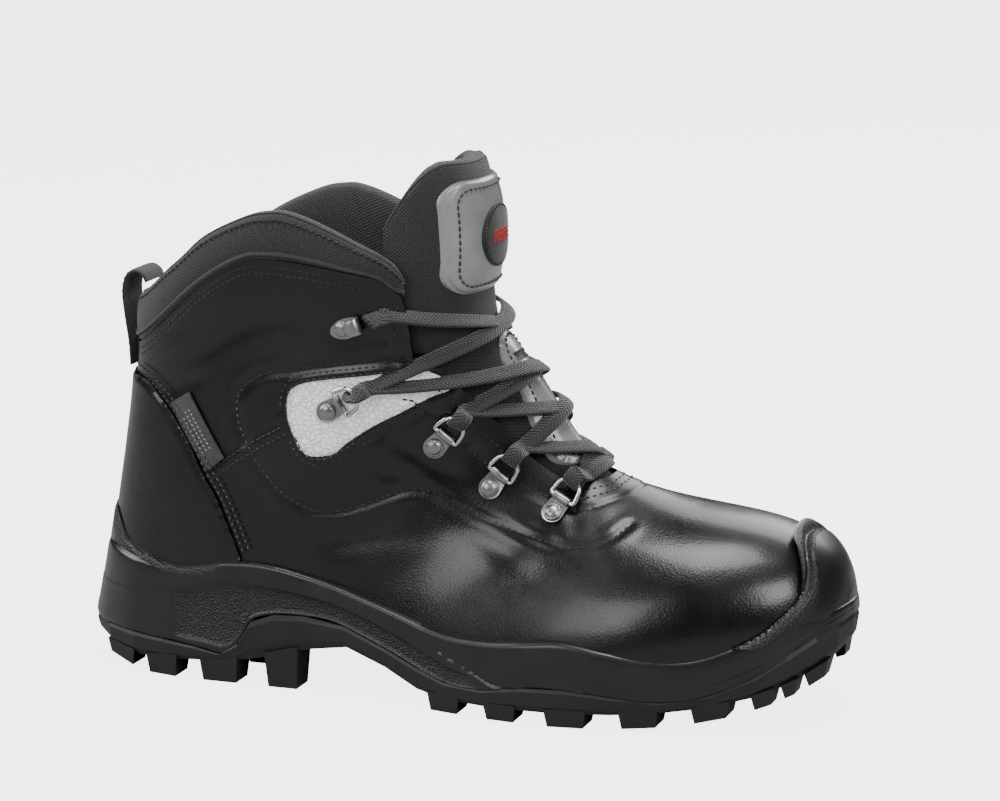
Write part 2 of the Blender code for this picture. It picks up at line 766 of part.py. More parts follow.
def make_insole():
    """The foot bed's insole, inside the upper's walls."""
    insole = form("insole", -LEATHER - FIT_GAP)
    return shared(insole, between("bed", raised(FOOT_BED, FIT_GAP), raised(FOOT_BED, INSOLE_THICK)))


def station_rows():
    """The sole's stations, with more between them on smooth curves."""
    rows = np.linspace(0.0, len(SOLE_STATIONS) - 1, SOLE_STEPS)
    return [SoleStation(*values) for values in through(SOLE_STATIONS, rows)]


def sole_ring(stations, ring, lift):
    """One closed line round the sole at the height and inset of a ring."""
    length = SOLE_STATIONS[-1].x
    outer, inner = [], []
    for station in stations:
        low, high = getattr(station, ring.low), getattr(station, ring.high)
        inside = HOLLOW_START < station.x < HOLLOW_END
        inset = ring.inset + (ring.hollow if inside else 0.0)
        x = station.x + inset * (1.0 - 2.0 * station.x / length)
        x += ring.lean * max(0.0, 1.0 - station.x / LEAN_END) ** 1.3
        z = low + (high - low) * ring.share + lift
        half = (station.inner - station.outer) / 2
        middle = (station.inner + station.outer) / 2
        half_width = max(half - inset, 0.6 * half)
        outer.append((x, middle - half_width, z))
        inner.append((x, middle + half_width, z))
    return outer + inner[::-1]


def sole_slab(name, rings, foot_lift, top_lift):
    """A layer of the sole through its rings. Its ends are strips that run from side to side."""
    stations = station_rows()
    count = 2 * len(stations)
    lines = []
    for number, ring in enumerate(rings):
        lift = foot_lift if number == 0 else top_lift if number == len(rings) - 1 else 0.0
        lines.append(sole_ring(stations, ring, lift))
    strips = [(i, i + 1, count - 2 - i, count - 1 - i) for i in range(len(stations) - 1)]
    return stacked_rings(name, lines, strips)


def station_at(x):
    """The sole's sizes at any distance from the heel."""
    stations = np.array(SOLE_STATIONS)
    return SoleStation(*[np.interp(x, stations[:, 0], column) for column in stations.T])


def lug(start, end, near_y, far_y):
    """A block between two stations, tapering down to the floor. near_y and far_y take a station."""
    rings = []
    for bottom in (True, False):
        taper = LUG_TAPER if bottom else 0.0
        corners = []
        back, front = start + taper, end - taper
        for x, side in ((back, near_y), (front, near_y), (front, far_y), (back, far_y)):
            station = station_at(x)
            y = side(station)
            inward = taper * (1 if y < (near_y(station) + far_y(station)) / 2 else -1)
            z = station.tread if bottom else min(station.ground + LUG_ROOT, station.line - LUG_BELOW_LINE)
            corners.append((x, y + inward, z))
        rings.append(corners)
    return stacked_rings("lug", rings)


def make_outsole():
    """The rubber outsole: a thin slab with lugs, wrapping up at the heel breast and the toe."""
    outsole = sole_slab("outsole", OUTSOLE_RINGS, 0.0, -FIT_GAP / 2)
    for start, end in EDGE_LUGS:
        depth = EDGE_LUG_DEPTH * (1.0 if start < TOE_LUGS_START else TOE_LUG_SHARE)
        joined(outsole, lug(start, end, lambda s: s.outer + LUG_INSET, lambda s: s.outer + depth))
        joined(outsole, lug(start, end, lambda s: s.inner - LUG_INSET, lambda s: s.inner - depth))
    for block in MIDDLE_LUGS:
        joined(
            outsole,
            lug(
                block.start,
                block.end,
                lambda s: MIDDLE_Y - block.half_width,
                lambda s: MIDDLE_Y + block.half_width,
            ),
        )
    toe_room = form("toe_room", FIT_GAP)
    shared(toe_room, above("pocket", FOOT_BED, -BED_LAYER - FIT_GAP))
    return cut(outsole, toe_room)


def make_midsole():
    """The softer midsole with its hollow side panel, the toe's scuff cap and the rise at the heel."""
    midsole = sole_slab("midsole", MIDSOLE_RINGS, FIT_GAP / 2, 0.0)
    bed_layer = form("bed_layer", 0.0)
    shared(bed_layer, between("layer", raised(FOOT_BED, -BED_LAYER), raised(FOOT_BED, BED_LAYER)))
    joined(midsole, bed_layer)
    toe_cap = form("toe_cap", TOE_CAP)
    shared(toe_cap, side_prism("edge", TOE_CAP_EDGE + TOE_CAP_FOOT))
    joined(midsole, toe_cap)
    heel_rise = form("heel_rise", HEEL_RISE, last_row=HEEL_ROWS)
    shared(heel_rise, side_prism("edge", HEEL_EDGE + HEEL_RISE_FOOT))
    joined(midsole, heel_rise)
    room = form("room", FIT_GAP)
    shared(room, above("bed", FOOT_BED))
    return cut(midsole, room)


def tongue_band(name, outside, inside):
    """A half tube round the shin between two distances from the face of the tongue."""
    turns = np.radians(np.linspace(-90.0, 90.0, 13))
    rings = []
    for level in TONGUE_LEVELS:
        ring = []
        for grow, order in ((outside, turns), (inside, turns[::-1])):
            reach = level.front - level.edge + grow
            half_width = level.half_width + grow
            for turn in order:
                bend = 2 / TONGUE_ROUNDNESS
                x = level.edge + reach * math.cos(turn) ** bend if abs(turn) < 1.57 else level.edge
                y = half_width * math.copysign(abs(math.sin(turn)) ** bend, turn)
                ring.append((x, y, level.z))
        rings.append(ring)
    return stacked_rings(name, rings)


def make_tongue():
    """The tongue: a thin padded sheet under the laces that widens into a thick half tube on top."""
    depth = LEATHER + TONGUE_UNDER
    tongue = form("tongue", -depth, last_row=INSTEP_ROWS)
    cut(tongue, core("hollow", depth + TONGUE_PAD, INSTEP_ROWS + 1.0))
    shared(tongue, throat_prism("sheet", TONGUE_MARGIN, *TONGUE_SPAN))
    cut(tongue, above("bend", ((100.0, TONGUE_BEND_Z), (300.0, TONGUE_BEND_Z))))
    cut(tongue, side_prism("back", TONGUE_BACK))
    top = tongue_band("top", 0.0, -TONGUE_TOP_PAD)
    cut(top, above("rim", TONGUE_TOP))
    return main_body(joined(tongue, top))


def make_tongue_patch():
    """The leather patch sewn on the front of the tongue."""
    width, height, radius = PATCH_SIZE
    patch = tongue_band("tongue_patch", FIT_GAP + PATCH_THICK, FIT_GAP)
    outline = rounded_outline(width, height, radius)
    return shared(patch, prism("outline", outline, Z_AXIS * PATCH_CENTRE_Z, Y_AXIS, Z_AXIS, 140.0, 200.0))


def make_tongue_badge():
    """A plain oval badge on the patch."""
    under = 2 * FIT_GAP + PATCH_THICK
    badge = tongue_band("tongue_badge", under + BADGE_THICK, under)
    outline = oval_outline(*BADGE_SIZE)
    return shared(badge, prism("outline", outline, Z_AXIS * BADGE_CENTRE_Z, Y_AXIS, Z_AXIS, 140.0, 200.0))


def make_tongue_strip():
    """The leather strip down the middle of the tongue, with a slot that keeps the laces."""
    strip = shell("tongue_strip", -STRIP_TOP, -STRIP_UNDER, last_row=INSTEP_ROWS)
    middle = (STRIP_START + STRIP_END) / 2
    origin = Vector(THROAT_REFERENCE) + Y_AXIS * THROAT_Y + Vector(THROAT_DOWN) * middle
    outline = rounded_outline(STRIP_END - STRIP_START, 2 * STRIP_HALF_WIDTH, STRIP_CORNER)
    shared(strip, prism("outline", outline, origin, Vector(THROAT_DOWN), Y_AXIS, -42.0, 60.0))
    start, end, half = STRIP_SLOT
    slot = [(start, -half), (end, -half), (end, half), (start, half)]
    origin = Vector(THROAT_REFERENCE) + Y_AXIS * THROAT_Y
    return cut(strip, prism("slot", slot, origin, Vector(THROAT_DOWN), Y_AXIS, -42.0, 60.0))


def make_pull_loop():
    """The webbing loop at the back, from above the counter up and over to the collar's rim."""
    smooth = through(LOOP_PATH, np.linspace(0, len(LOOP_PATH) - 1, 60))
    outline = thick_path(evenly_spaced(smooth, LOOP_STEPS), LOOP_THICK)
    return prism("pull_loop", outline, ORIGIN, X_AXIS, Z_AXIS, -LOOP_HALF_WIDTH, LOOP_HALF_WIDTH)


def make_label_tab():
    """The small woven tab sewn in at the front edge of the counter."""
    tab = shell("label_tab", FIT_GAP + LABEL_THICK, FIT_GAP, last_row=HEEL_ROWS)
    return shared(tab, side_prism("outline", LABEL_OUTLINE, (OUTER,)))


def fitting_frame(fitting, side):
    """The place of a fitting: first axis from rivet to ring, third axis outwards, clear of the last."""
    mirror = -side
    rivet, out = on_last(fitting.rivet_row, mirror * fitting.rivet_share)
    ring, _ = on_last(fitting.ring_row, mirror * fitting.ring_share)
    toward = ring - rivet
    toward = (toward - out * toward.dot(out)).normalized()
    aside = out.cross(toward)
    matrix = Matrix((toward, aside, out)).transposed().to_4x4()
    swell = 0.0
    for row_step in (-0.4, -0.2, 0.0, 0.2, 0.4):
        for share_step in (-0.05, -0.025, 0.0, 0.025, 0.05):
            near, _ = on_last(fitting.rivet_row + row_step, mirror * fitting.rivet_share + share_step)
            if (near - rivet).length < SEAT_REACH:
                swell = max(swell, (near - rivet).dot(out))
    return Matrix.Translation((rivet + out * swell) * MM) @ matrix


def turned(name, profile, segments, centre=(0.0, 0.0)):
    """A solid turned about a line along the third axis, from a profile of radius and height."""
    rings = []
    for radius, height in profile:
        ring = []
        for step in range(segments):
            turn = 2 * math.pi * step / segments
            ring.append((centre[0] + radius * math.cos(turn), centre[1] + radius * math.sin(turn), height))
        rings.append(ring)
    return stacked_rings(name, rings)


def rivet_head(base):
    """The domed head of a rivet, standing on its plate."""
    profile = [(RIVET_RADIUS, base)]
    for tilt in (15, 60):
        turn = math.radians(tilt)
        height = base + RIVET_RIM + RIVET_HEIGHT * math.sin(turn)
        profile.append((RIVET_RADIUS * math.cos(turn), height))
    return turned("rivet", profile, 8)


def plate_outline():
    """A leaf that is round about the rivet and widens a little to its rolled edge."""
    outline = [(RIVET_TO_PIVOT, -KNUCKLE_HALF), (RIVET_TO_PIVOT, KNUCKLE_HALF)]
    for step in range(5):
        turn = math.radians(80 + 50 * step)
        outline.append((PLATE_END_RADIUS * math.cos(turn), PLATE_END_RADIUS * math.sin(turn)))
    return outline


def plate_mesh():
    """The riveted plate whose rolled edge holds a ring."""
    top = PLATE_STANDOFF + PLATE_THICK
    plate = prism("plate", plate_outline(), ORIGIN, X_AXIS, Y_AXIS, PLATE_STANDOFF, top)
    pivot = Vector((RIVET_TO_PIVOT, 0.0, PLATE_STANDOFF + KNUCKLE_RADIUS))
    roll = oval_outline(2 * KNUCKLE_RADIUS, 2 * KNUCKLE_RADIUS, 8)
    bore = oval_outline(2 * KNUCKLE_BORE, 2 * KNUCKLE_BORE, 8)
    joined(plate, prism("roll", roll, pivot, X_AXIS, Z_AXIS, -KNUCKLE_HALF, KNUCKLE_HALF))
    joined(plate, rivet_head(top - RIVET_SUNK))
    return cut(plate, prism("bore", bore, pivot, X_AXIS, Z_AXIS, -10.0, 10.0))


def ring_path():
    """The middle line of a ring: a straight bar in the plate's roll and a round bow."""
    side = RING_HALF_WIDTH
    path = [(0.0, RING_CORNER - side), (0.0, side - RING_CORNER), (RING_CORNER, side)]
    for step in range(6):
        turn = math.radians(36 * step)
        path.append((RING_STRAIGHT + RING_REACH * math.sin(turn), side * math.cos(turn)))
    path.append((RING_CORNER, -side))
    return path


def ring_mesh():
    """The wire ring, lifted a little off the boot about the bar that the plate holds."""
    path = [Vector((x, y, 0.0)) for x, y in ring_path()]
    rings = []
    for number, point in enumerate(path):
        before, after = path[number - 1], path[(number + 1) % len(path)]
        along = (after - before).normalized()
        aside = along.cross(Z_AXIS)
        ring = []
        for step in range(WIRE_SIDES):
            turn = 2 * math.pi * step / WIRE_SIDES
            ring.append(point + WIRE_RADIUS * (aside * math.cos(turn) + Z_AXIS * math.sin(turn)))
        rings.append(ring)
    count = len(rings)
    points = [point for ring in rings for point in ring]
    faces = []
    for number in range(count):
        after = (number + 1) % count
        low, high = number * WIRE_SIDES, after * WIRE_SIDES
        for step in range(WIRE_SIDES):
            turn = (step + 1) % WIRE_SIDES
            faces.append((low + step, low + turn, high + turn, high + step))
    lift = Matrix.Rotation(math.radians(-RING_LIFT), 4, "Y")
    place = Matrix.Translation((RIVET_TO_PIVOT, 0.0, PLATE_STANDOFF + KNUCKLE_RADIUS)) @ lift
    return mesh_object("ring", [place @ point for point in points], faces)


def hook_mesh():
    """The open lace hook: a riveted plate whose end curls up and back over the rivet."""
    top = PLATE_STANDOFF + PLATE_THICK
    outline = rounded_outline(*HOOK_PLATE)
    hook = prism("hook", outline, X_AXIS * HOOK_FORWARD, X_AXIS, Y_AXIS, PLATE_STANDOFF, top)
    joined(hook, rivet_head(top - RIVET_SUNK))
    band = thick_path(HOOK_CURL, HOOK_THICK)
    return joined(hook, prism("curl", band, ORIGIN, X_AXIS, Z_AXIS, -HOOK_HALF_WIDTH, HOOK_HALF_WIDTH))


def placed_copy(name, source, matrix):
    """Another object with its own copy of a mesh, set on the boot."""
    mesh = source.data.copy()
    mesh.transform(matrix)
    made = bpy.data.objects.new(name, mesh)
    bpy.context.scene.collection.objects.link(made)
    return made


def make_fittings():
    """Four ring eyelets and a hook for each side of the throat."""
    plate, ring, hook = plate_mesh(), ring_mesh(), hook_mesh()
    plates, rings, hooks = [], [], []
    for side, side_name in ((OUTER, "outer"), (INNER, "inner")):
        for fitting in EYELETS:
            matrix = fitting_frame(fitting, side)
            plates.append(placed_copy("eyelet_plate_" + side_name + "_" + fitting.name, plate, matrix))
            rings.append(placed_copy("d_ring_" + side_name + "_" + fitting.name, ring, matrix))
        hooks.append(placed_copy("lace_hook_" + side_name, hook, fitting_frame(HOOK, side)))
    for source in (plate, ring, hook):
        bpy.data.objects.remove(source)
    return plates, rings, hooks


def lace_end(fitting, side):
    """Where a lace comes free of a ring or hook, as the row and share on the last."""
    mirror = -side
    rivet, _ = on_last(fitting.rivet_row, mirror * fitting.rivet_share)
    ring, _ = on_last(fitting.ring_row, mirror * fitting.ring_share)
    reach = RIVET_TO_PIVOT + RING_STRAIGHT + RING_REACH + WIRE_RADIUS + LACE_CLEAR
    step = reach / (ring - rivet).length
    row = fitting.rivet_row + step * (fitting.ring_row - fitting.rivet_row)
    share = fitting.rivet_share + step * (fitting.ring_share - fitting.rivet_share)
    return row, mirror * share


def lace_band(start, end):
    """A flat band over the instep, from one place on the last to another."""
    rings = []
    centres = []
    for step in np.linspace(-LACE_OVERRUN, 1.0 + LACE_OVERRUN, LACE_STEPS):
        row = start[0] + step * (end[0] - start[0])
        share = start[1] + step * (end[1] - start[1])
        point, out = on_last(row, share)
        lift = LACE_HEIGHT + LACE_CROSSING_LIFT * math.sin(math.pi * step) ** 2
        centres.append((point + out * lift, out))
    for number, (point, out) in enumerate(centres):
        before = centres[max(number - 1, 0)][0]
        after = centres[min(number + 1, len(centres) - 1)][0]
        aside = (after - before).cross(out).normalized()
        ring = []
        for across, up in ((-1, -1), (1, -1), (1, 1), (-1, 1)):
            ring.append(point + aside * (across * LACE_WIDTH / 2) + out * (up * LACE_THICK / 2))
        rings.append(ring)
    return stacked_rings("band", rings)


def make_laces():
    """The laces over the tongue: a bar at the foot of the throat and four crossings above it."""
    stops = {side: [lace_end(fitting, side) for fitting in EYELETS + (HOOK,)] for side in (OUTER, INNER)}
    laces = lace_band(stops[OUTER][0], stops[INNER][0])
    laces.name = "laces"
    for level in range(len(EYELETS)):
        joined(laces, lace_band(stops[OUTER][level], stops[INNER][level + 1]))
        joined(laces, lace_band(stops[INNER][level], stops[OUTER][level + 1]))
    return main_body(laces)


def simplify(made):
    """Give the solid's flat areas as few triangles as they need, while it stays closed."""
    for flat_enough in FLAT_ENOUGH:
        body = bmesh.new()
        body.from_mesh(made.data)
        angle = math.radians(flat_enough)
        bmesh.ops.dissolve_limit(body, angle_limit=angle, verts=body.verts, edges=body.edges)
        bmesh.ops.triangulate(body, faces=body.faces)
        closed = all(edge.is_manifold for edge in body.edges)
        if closed:
            body.to_mesh(made.data)
        body.free()
        if closed:
            return


def finish(objects, material_name, colour, roughness, metallic=0.0):
    """Give pieces their material and smooth shading that keeps sharp corners."""
    material = bpy.data.materials.new(material_name)
    material.use_nodes = True
    shader = material.node_tree.nodes["Principled BSDF"]
    shader.inputs["Base Color"].default_value = (*colour, 1.0)
    shader.inputs["Roughness"].default_value = roughness
    shader.inputs["Metallic"].default_value = metallic
    for made in objects:
        simplify(made)
        made.data.materials.clear()
        made.data.materials.append(material)
        made.data.shade_smooth()
        made.data.set_sharp_from_angle(angle=math.radians(35))


def centre_on_floor(objects):
    """Move everything so that the origin lies on the floor under the middle of the boot."""
    corners = np.array([made.matrix_world @ vertex.co for made in objects for vertex in made.data.vertices])
    low, high = corners.min(axis=0), corners.max(axis=0)
    middle = (low + high) / 2
    shift = Matrix.Translation((-middle[0], -middle[1], -low[2]))
    for made in objects:
        made.data.transform(shift)


def main():
    """Build every piece of the boot."""
    for old in list(bpy.data.objects):
        bpy.data.objects.remove(old)
    leather_black = (0.012, 0.012, 0.013)
    cloth_black = (0.02, 0.019, 0.018)
    finish([make_outsole()], "rubber", (0.02, 0.02, 0.021), 0.6)
    finish([make_midsole()], "polyurethane", (0.012, 0.012, 0.013), 0.4)
    finish([make_insole()], "insole_felt", (0.03, 0.03, 0.035), 0.9)
    leather_pieces = [make_upper(), make_heel_counter(), make_tongue_patch(), make_tongue_strip()]
    finish(leather_pieces, "leather", leather_black, 0.3)
    finish([make_collar(), make_tongue()], "woven_cloth", cloth_black, 0.85)
    finish([make_side_panel("side_panel_outer", OUTER)], "light_panel", (0.8, 0.8, 0.79), 0.5)
    finish([make_side_panel("side_panel_inner", INNER)], "light_panel", (0.8, 0.8, 0.79), 0.5)
    finish([make_tongue_badge(), make_label_tab()], "label", (0.02, 0.02, 0.02), 0.6)
    finish([make_pull_loop()], "webbing", cloth_black, 0.8)
    plates, rings, hooks = make_fittings()
    finish(plates + rings + hooks, "nickel", (0.35, 0.34, 0.33), 0.3, 1.0)
    finish([make_laces()], "lace", (0.015, 0.015, 0.015), 0.85)
    centre_on_floor(list(bpy.data.objects))


main()
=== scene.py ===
"""The looks of a black leather metatarsal guard work boot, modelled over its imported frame.

Sizes are millimetres in the maker's own frame: X from the back of the heel to the toe, Y from the outer
side of the foot (negative) to the inner side, Z up from the floor. Each piece is moved into the row's
frame, in metres, when it is made.
"""

import logging
import math
from collections import namedtuple
from dataclasses import dataclass
from enum import Enum
from typing import Callable, Iterable, Optional, Sequence

import bmesh
import bpy
import numpy as np
from mathutils import Matrix, Vector
from mathutils.bvhtree import BVHTree
from mathutils.kdtree import KDTree


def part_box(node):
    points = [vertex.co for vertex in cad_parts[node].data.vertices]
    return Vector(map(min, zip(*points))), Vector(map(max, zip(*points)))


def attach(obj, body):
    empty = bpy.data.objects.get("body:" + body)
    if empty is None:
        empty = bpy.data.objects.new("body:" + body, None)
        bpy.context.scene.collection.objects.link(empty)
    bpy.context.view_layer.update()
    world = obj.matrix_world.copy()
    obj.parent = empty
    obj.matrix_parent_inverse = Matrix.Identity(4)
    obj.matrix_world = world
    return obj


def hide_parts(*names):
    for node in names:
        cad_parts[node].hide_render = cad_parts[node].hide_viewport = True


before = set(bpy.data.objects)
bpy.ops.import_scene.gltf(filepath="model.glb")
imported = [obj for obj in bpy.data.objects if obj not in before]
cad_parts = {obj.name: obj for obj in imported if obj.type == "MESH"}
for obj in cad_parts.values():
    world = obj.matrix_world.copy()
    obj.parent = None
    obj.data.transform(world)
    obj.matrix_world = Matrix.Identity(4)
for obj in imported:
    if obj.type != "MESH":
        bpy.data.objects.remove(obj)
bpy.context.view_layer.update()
LOG = logging.getLogger("boot")

MM = 0.001
OUTER = -1
INNER = 1
X_AXIS = Vector((1.0, 0.0, 0.0))
Y_AXIS = Vector((0.0, 1.0, 0.0))
Z_AXIS = Vector((0.0, 0.0, 1.0))
WHITE = (1.0, 1.0, 1.0, 1.0)
HEEL_BACK_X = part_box("outsole")[0][0] / MM
LAST_OFF_CENTRE = 1.5
TO_ROW = Vector((HEEL_BACK_X, LAST_OFF_CENTRE, 0.0))

# The last, as a fan of section planes from the top of the shaft round the ankle to the toe
Section = namedtuple(
    "Section",
    "bottom_x bottom_z top_x top_z outer inner widest bottom_power top_power ridge_y",
)
LAST_SECTIONS = (
    Section(27.0, 214.0, 172.0, 214.0, 41.0, 41.0, 0.50, 2.2, 3.0, 0.0),
    Section(24.5, 188.0, 171.0, 193.0, 41.0, 41.0, 0.50, 2.2, 3.0, 0.0),
    Section(21.0, 160.0, 170.0, 172.0, 40.0, 40.0, 0.50, 2.2, 2.9, 0.0),
    Section(19.0, 136.0, 170.0, 156.0, 38.5, 38.5, 0.50, 2.2, 2.7, 0.0),
    Section(17.5, 112.0, 173.0, 144.0, 38.0, 38.0, 0.47, 2.2, 2.4, 0.0),
    Section(14.5, 88.0, 179.0, 135.0, 38.5, 38.0, 0.44, 2.3, 2.2, 0.5),
    Section(10.5, 62.0, 186.5, 126.0, 39.0, 38.0, 0.41, 2.4, 2.1, 1.0),
    Section(7.5, 38.0, 193.0, 116.5, 39.0, 37.5, 0.37, 2.6, 2.0, 1.5),
    Section(12.0, 14.0, 199.0, 107.5, 38.5, 37.0, 0.34, 3.6, 1.95, 2.0),
    Section(42.0, 9.0, 205.0, 99.5, 38.0, 36.0, 0.32, 5.0, 1.9, 2.5),
    Section(80.0, 7.0, 211.0, 93.0, 38.0, 35.0, 0.30, 6.0, 1.9, 3.0),
    Section(120.0, 3.0, 218.0, 88.0, 41.0, 36.5, 0.28, 6.0, 1.9, 3.5),
    Section(158.0, 0.0, 227.0, 84.5, 46.5, 41.0, 0.28, 6.0, 1.95, 4.0),
    Section(190.0, -3.0, 238.0, 81.5, 50.5, 45.5, 0.28, 6.0, 2.0, 4.5),
    Section(218.0, -3.0, 251.0, 79.0, 51.0, 47.5, 0.29, 6.0, 2.1, 5.0),
    Section(242.0, 0.0, 264.0, 77.0, 48.0, 47.0, 0.30, 6.0, 2.2, 5.0),
    Section(262.0, 3.0, 276.0, 75.0, 43.0, 44.5, 0.31, 5.5, 2.3, 5.0),
    Section(279.0, 6.0, 286.5, 72.5, 36.5, 40.5, 0.33, 5.0, 2.4, 5.0),
    Section(292.0, 9.0, 296.0, 69.0, 29.5, 35.0, 0.36, 4.0, 2.4, 5.0),
    Section(301.0, 13.0, 303.0, 63.5, 21.5, 28.5, 0.40, 3.0, 2.4, 5.0),
    Section(307.0, 19.0, 307.5, 56.5, 13.0, 21.5, 0.44, 2.5, 2.3, 5.0),
    Section(310.3, 27.0, 310.4, 48.5, 4.5, 13.5, 0.48, 2.2, 2.2, 5.0),
)
TOE_TIP = (311.6, 4.5, 38.0)

# The sole, station by station from heel to toe: its outline, the floor height of the lugs, the ground
# between them, the line where rubber meets the softer midsole, the bead's lower edge, the top edge
Station = namedtuple("Station", "x outer inner tread ground line shelf edge")
SOLE_STATIONS = (
    Station(0.0, -9.0, 7.0, 8.0, 11.5, 17.0, 34.0, 50.0),
    Station(4.0, -19.5, 17.0, 7.0, 10.5, 17.0, 34.0, 50.0),
    Station(12.0, -29.0, 26.5, 5.0, 8.5, 17.0, 34.0, 49.5),
    Station(24.0, -36.3, 33.8, 2.2, 7.0, 16.8, 34.0, 47.5),
    Station(36.0, -39.3, 37.2, 0.0, 6.6, 15.8, 34.5, 46.0),
    Station(48.0, -41.2, 39.4, 0.0, 7.4, 15.2, 36.5, 45.5),
    Station(60.0, -41.6, 40.0, 0.0, 8.4, 13.4, 40.0, 47.6),
    Station(70.0, -41.6, 40.0, 0.0, 9.2, 12.0, 41.4, 49.4),
    Station(76.0, -41.5, 39.8, 0.0, 10.0, 18.0, 41.7, 50.0),
    Station(81.0, -41.4, 39.6, 0.0, 11.0, 26.6, 41.5, 50.1),
    Station(90.0, -41.3, 39.4, 0.0, 13.0, 30.0, 40.8, 49.5),
    Station(101.0, -41.3, 39.2, 0.0, 16.0, 30.8, 39.5, 47.5),
    Station(116.0, -42.2, 39.4, 0.0, 20.0, 30.0, 37.2, 44.2),
    Station(132.0, -44.2, 40.4, 0.0, 17.0, 24.8, 32.6, 39.8),
    Station(146.0, -46.4, 42.0, 0.0, 10.0, 19.6, 27.6, 35.8),
    Station(158.0, -48.7, 43.2, 0.0, 6.0, 14.8, 22.6, 32.4),
    Station(170.0, -51.2, 45.4, 0.0, 4.8, 11.8, 18.2, 30.6),
    Station(185.0, -53.4, 48.0, 0.0, 5.0, 12.2, 16.4, 30.6),
    Station(200.0, -54.6, 50.0, 0.0, 5.2, 15.0, 18.4, 32.2),
    Station(215.0, -54.4, 51.2, 0.0, 5.4, 15.6, 19.0, 33.6),
    Station(232.0, -52.6, 51.6, 0.8, 6.2, 14.2, 17.8, 30.8),
    Station(248.0, -49.9, 50.8, 2.0, 7.4, 12.8, 16.8, 28.9),
    Station(264.0, -46.0, 48.3, 4.3, 9.3, 14.3, 18.2, 29.2),
    Station(279.0, -40.3, 44.2, 7.2, 12.0, 19.3, 23.2, 34.0),
    Station(291.0, -33.8, 38.9, 11.0, 15.4, 25.8, 29.2, 39.5),
    Station(300.0, -26.6, 33.4, 14.8, 18.8, 32.6, 35.6, 43.0),
    Station(307.5, -18.4, 26.4, 19.2, 23.2, 37.2, 39.9, 44.6),
    Station(312.5, -9.6, 18.4, 23.0, 26.8, 39.6, 42.2, 45.6),
    Station(315.0, 0.5, 8.5, 26.0, 29.5, 40.8, 43.2, 46.2),
)

# Side-view lines, as x and z
FOOT_BED = (
    (-6.0, 37.0), (20.0, 36.0), (60.0, 35.5), (90.0, 34.9), (110.0, 33.4), (130.0, 28.6), (150.0, 23.6),
    (170.0, 19.6), (190.0, 18.3), (235.0, 18.2), (255.0, 19.2), (275.0, 21.6), (290.0, 24.6),
    (303.0, 28.2), (320.0, 33.6),
)
LEATHER_TOP = (
    (-20.0, 131.5), (18.0, 131.5), (25.0, 131.0), (38.0, 140.0), (60.0, 159.0), (78.0, 170.0),
    (91.0, 171.6), (104.0, 170.8), (120.0, 168.5), (134.0, 166.0), (143.0, 160.0),
)
QUARTER_FRONT = ((145.0, 152.0), (146.0, 140.0), (147.0, 131.0))
COLLAR_TOP = (
    (-20.0, 150.0), (21.0, 150.0), (45.0, 166.0), (60.0, 179.0), (78.0, 188.0), (89.0, 190.4),
    (96.0, 190.0), (107.0, 186.6), (122.5, 180.0), (138.0, 172.0), (145.5, 162.6),
)
COUNTER_TOP = (
    (-20.0, 118.5), (24.4, 117.6), (31.6, 116.3), (40.2, 110.7), (45.8, 105.7), (54.0, 95.7),
    (60.2, 84.8), (67.4, 74.0), (73.3, 60.3), (76.5, 51.8),
)
HEEL_EDGE = (
    (-20.0, 63.5), (10.0, 63.0), (15.6, 61.2), (22.4, 54.0), (29.2, 50.5), (40.1, 48.0), (49.6, 46.6),
    (58.6, 47.6), (71.7, 49.9), (84.5, 50.4),
)
HEEL_RISE_FOOT = ((84.5, 44.0), (49.6, 43.0), (20.0, 38.0), (-20.0, 38.0))
TOE_CAP_EDGE = (
    (278.0, 34.0), (287.0, 39.0), (293.6, 44.8), (299.2, 52.0), (299.8, 58.8), (296.3, 67.6),
    (291.5, 74.0), (289.0, 84.0),
)
TOE_CAP_FOOT = ((340.0, 84.0), (340.0, 42.4), (300.0, 42.4), (288.0, 34.0))
PANEL_OUTLINE = (
    (96.8, 115.5), (98.0, 120.0), (103.5, 123.5), (114.5, 125.8), (130.2, 128.0), (141.6, 129.4),
    (160.0, 129.4), (160.0, 122.9), (153.0, 119.8), (141.6, 113.4), (132.1, 108.3), (122.2, 101.6),
    (116.2, 96.5), (111.0, 95.0), (105.3, 95.0), (101.7, 97.6), (99.3, 103.0), (97.2, 108.5),
)
LABEL_OUTLINE = ((44.6, 110.3), (53.6, 115.9), (70.1, 91.5), (62.5, 85.5))
WAVY_SEAM = (
    (143.0, 136.5), (128.0, 133.5), (114.2, 131.3), (95.2, 127.7), (86.3, 125.5), (78.9, 120.5),
    (75.4, 114.3), (76.3, 105.2), (80.6, 96.4), (85.3, 88.8), (94.7, 78.6), (106.0, 72.9), (114.8, 72.6),
    (124.0, 75.0), (136.5, 80.0), (144.3, 82.7), (151.5, 82.5), (164.0, 78.2), (172.4, 74.1),
    (179.8, 71.5), (191.7, 67.7), (206.5, 65.3), (217.0, 66.0), (226.0, 69.3), (231.5, 74.0),
)
COUNTER_SEAM = ((62.5, 83.0), (73.0, 90.5), (84.5, 98.0), (95.9, 104.4))
PANEL_LOW_SEAM = ((97.5, 101.5), (103.0, 93.0), (112.0, 91.5), (121.0, 96.0), (134.6, 105.2), (151.7, 115.4))
PANEL_TOP_SEAM = (
    (94.0, 112.0), (95.5, 121.0), (102.0, 126.3), (114.5, 128.9), (130.2, 131.2), (146.0, 133.0),
)

LOOP_PATH = (
    (16.3, 119.2), (15.9, 128.0), (14.2, 140.0), (13.4, 149.0), (15.0, 155.2), (18.6, 157.6),
    (22.0, 156.2), (23.6, 153.2),
)

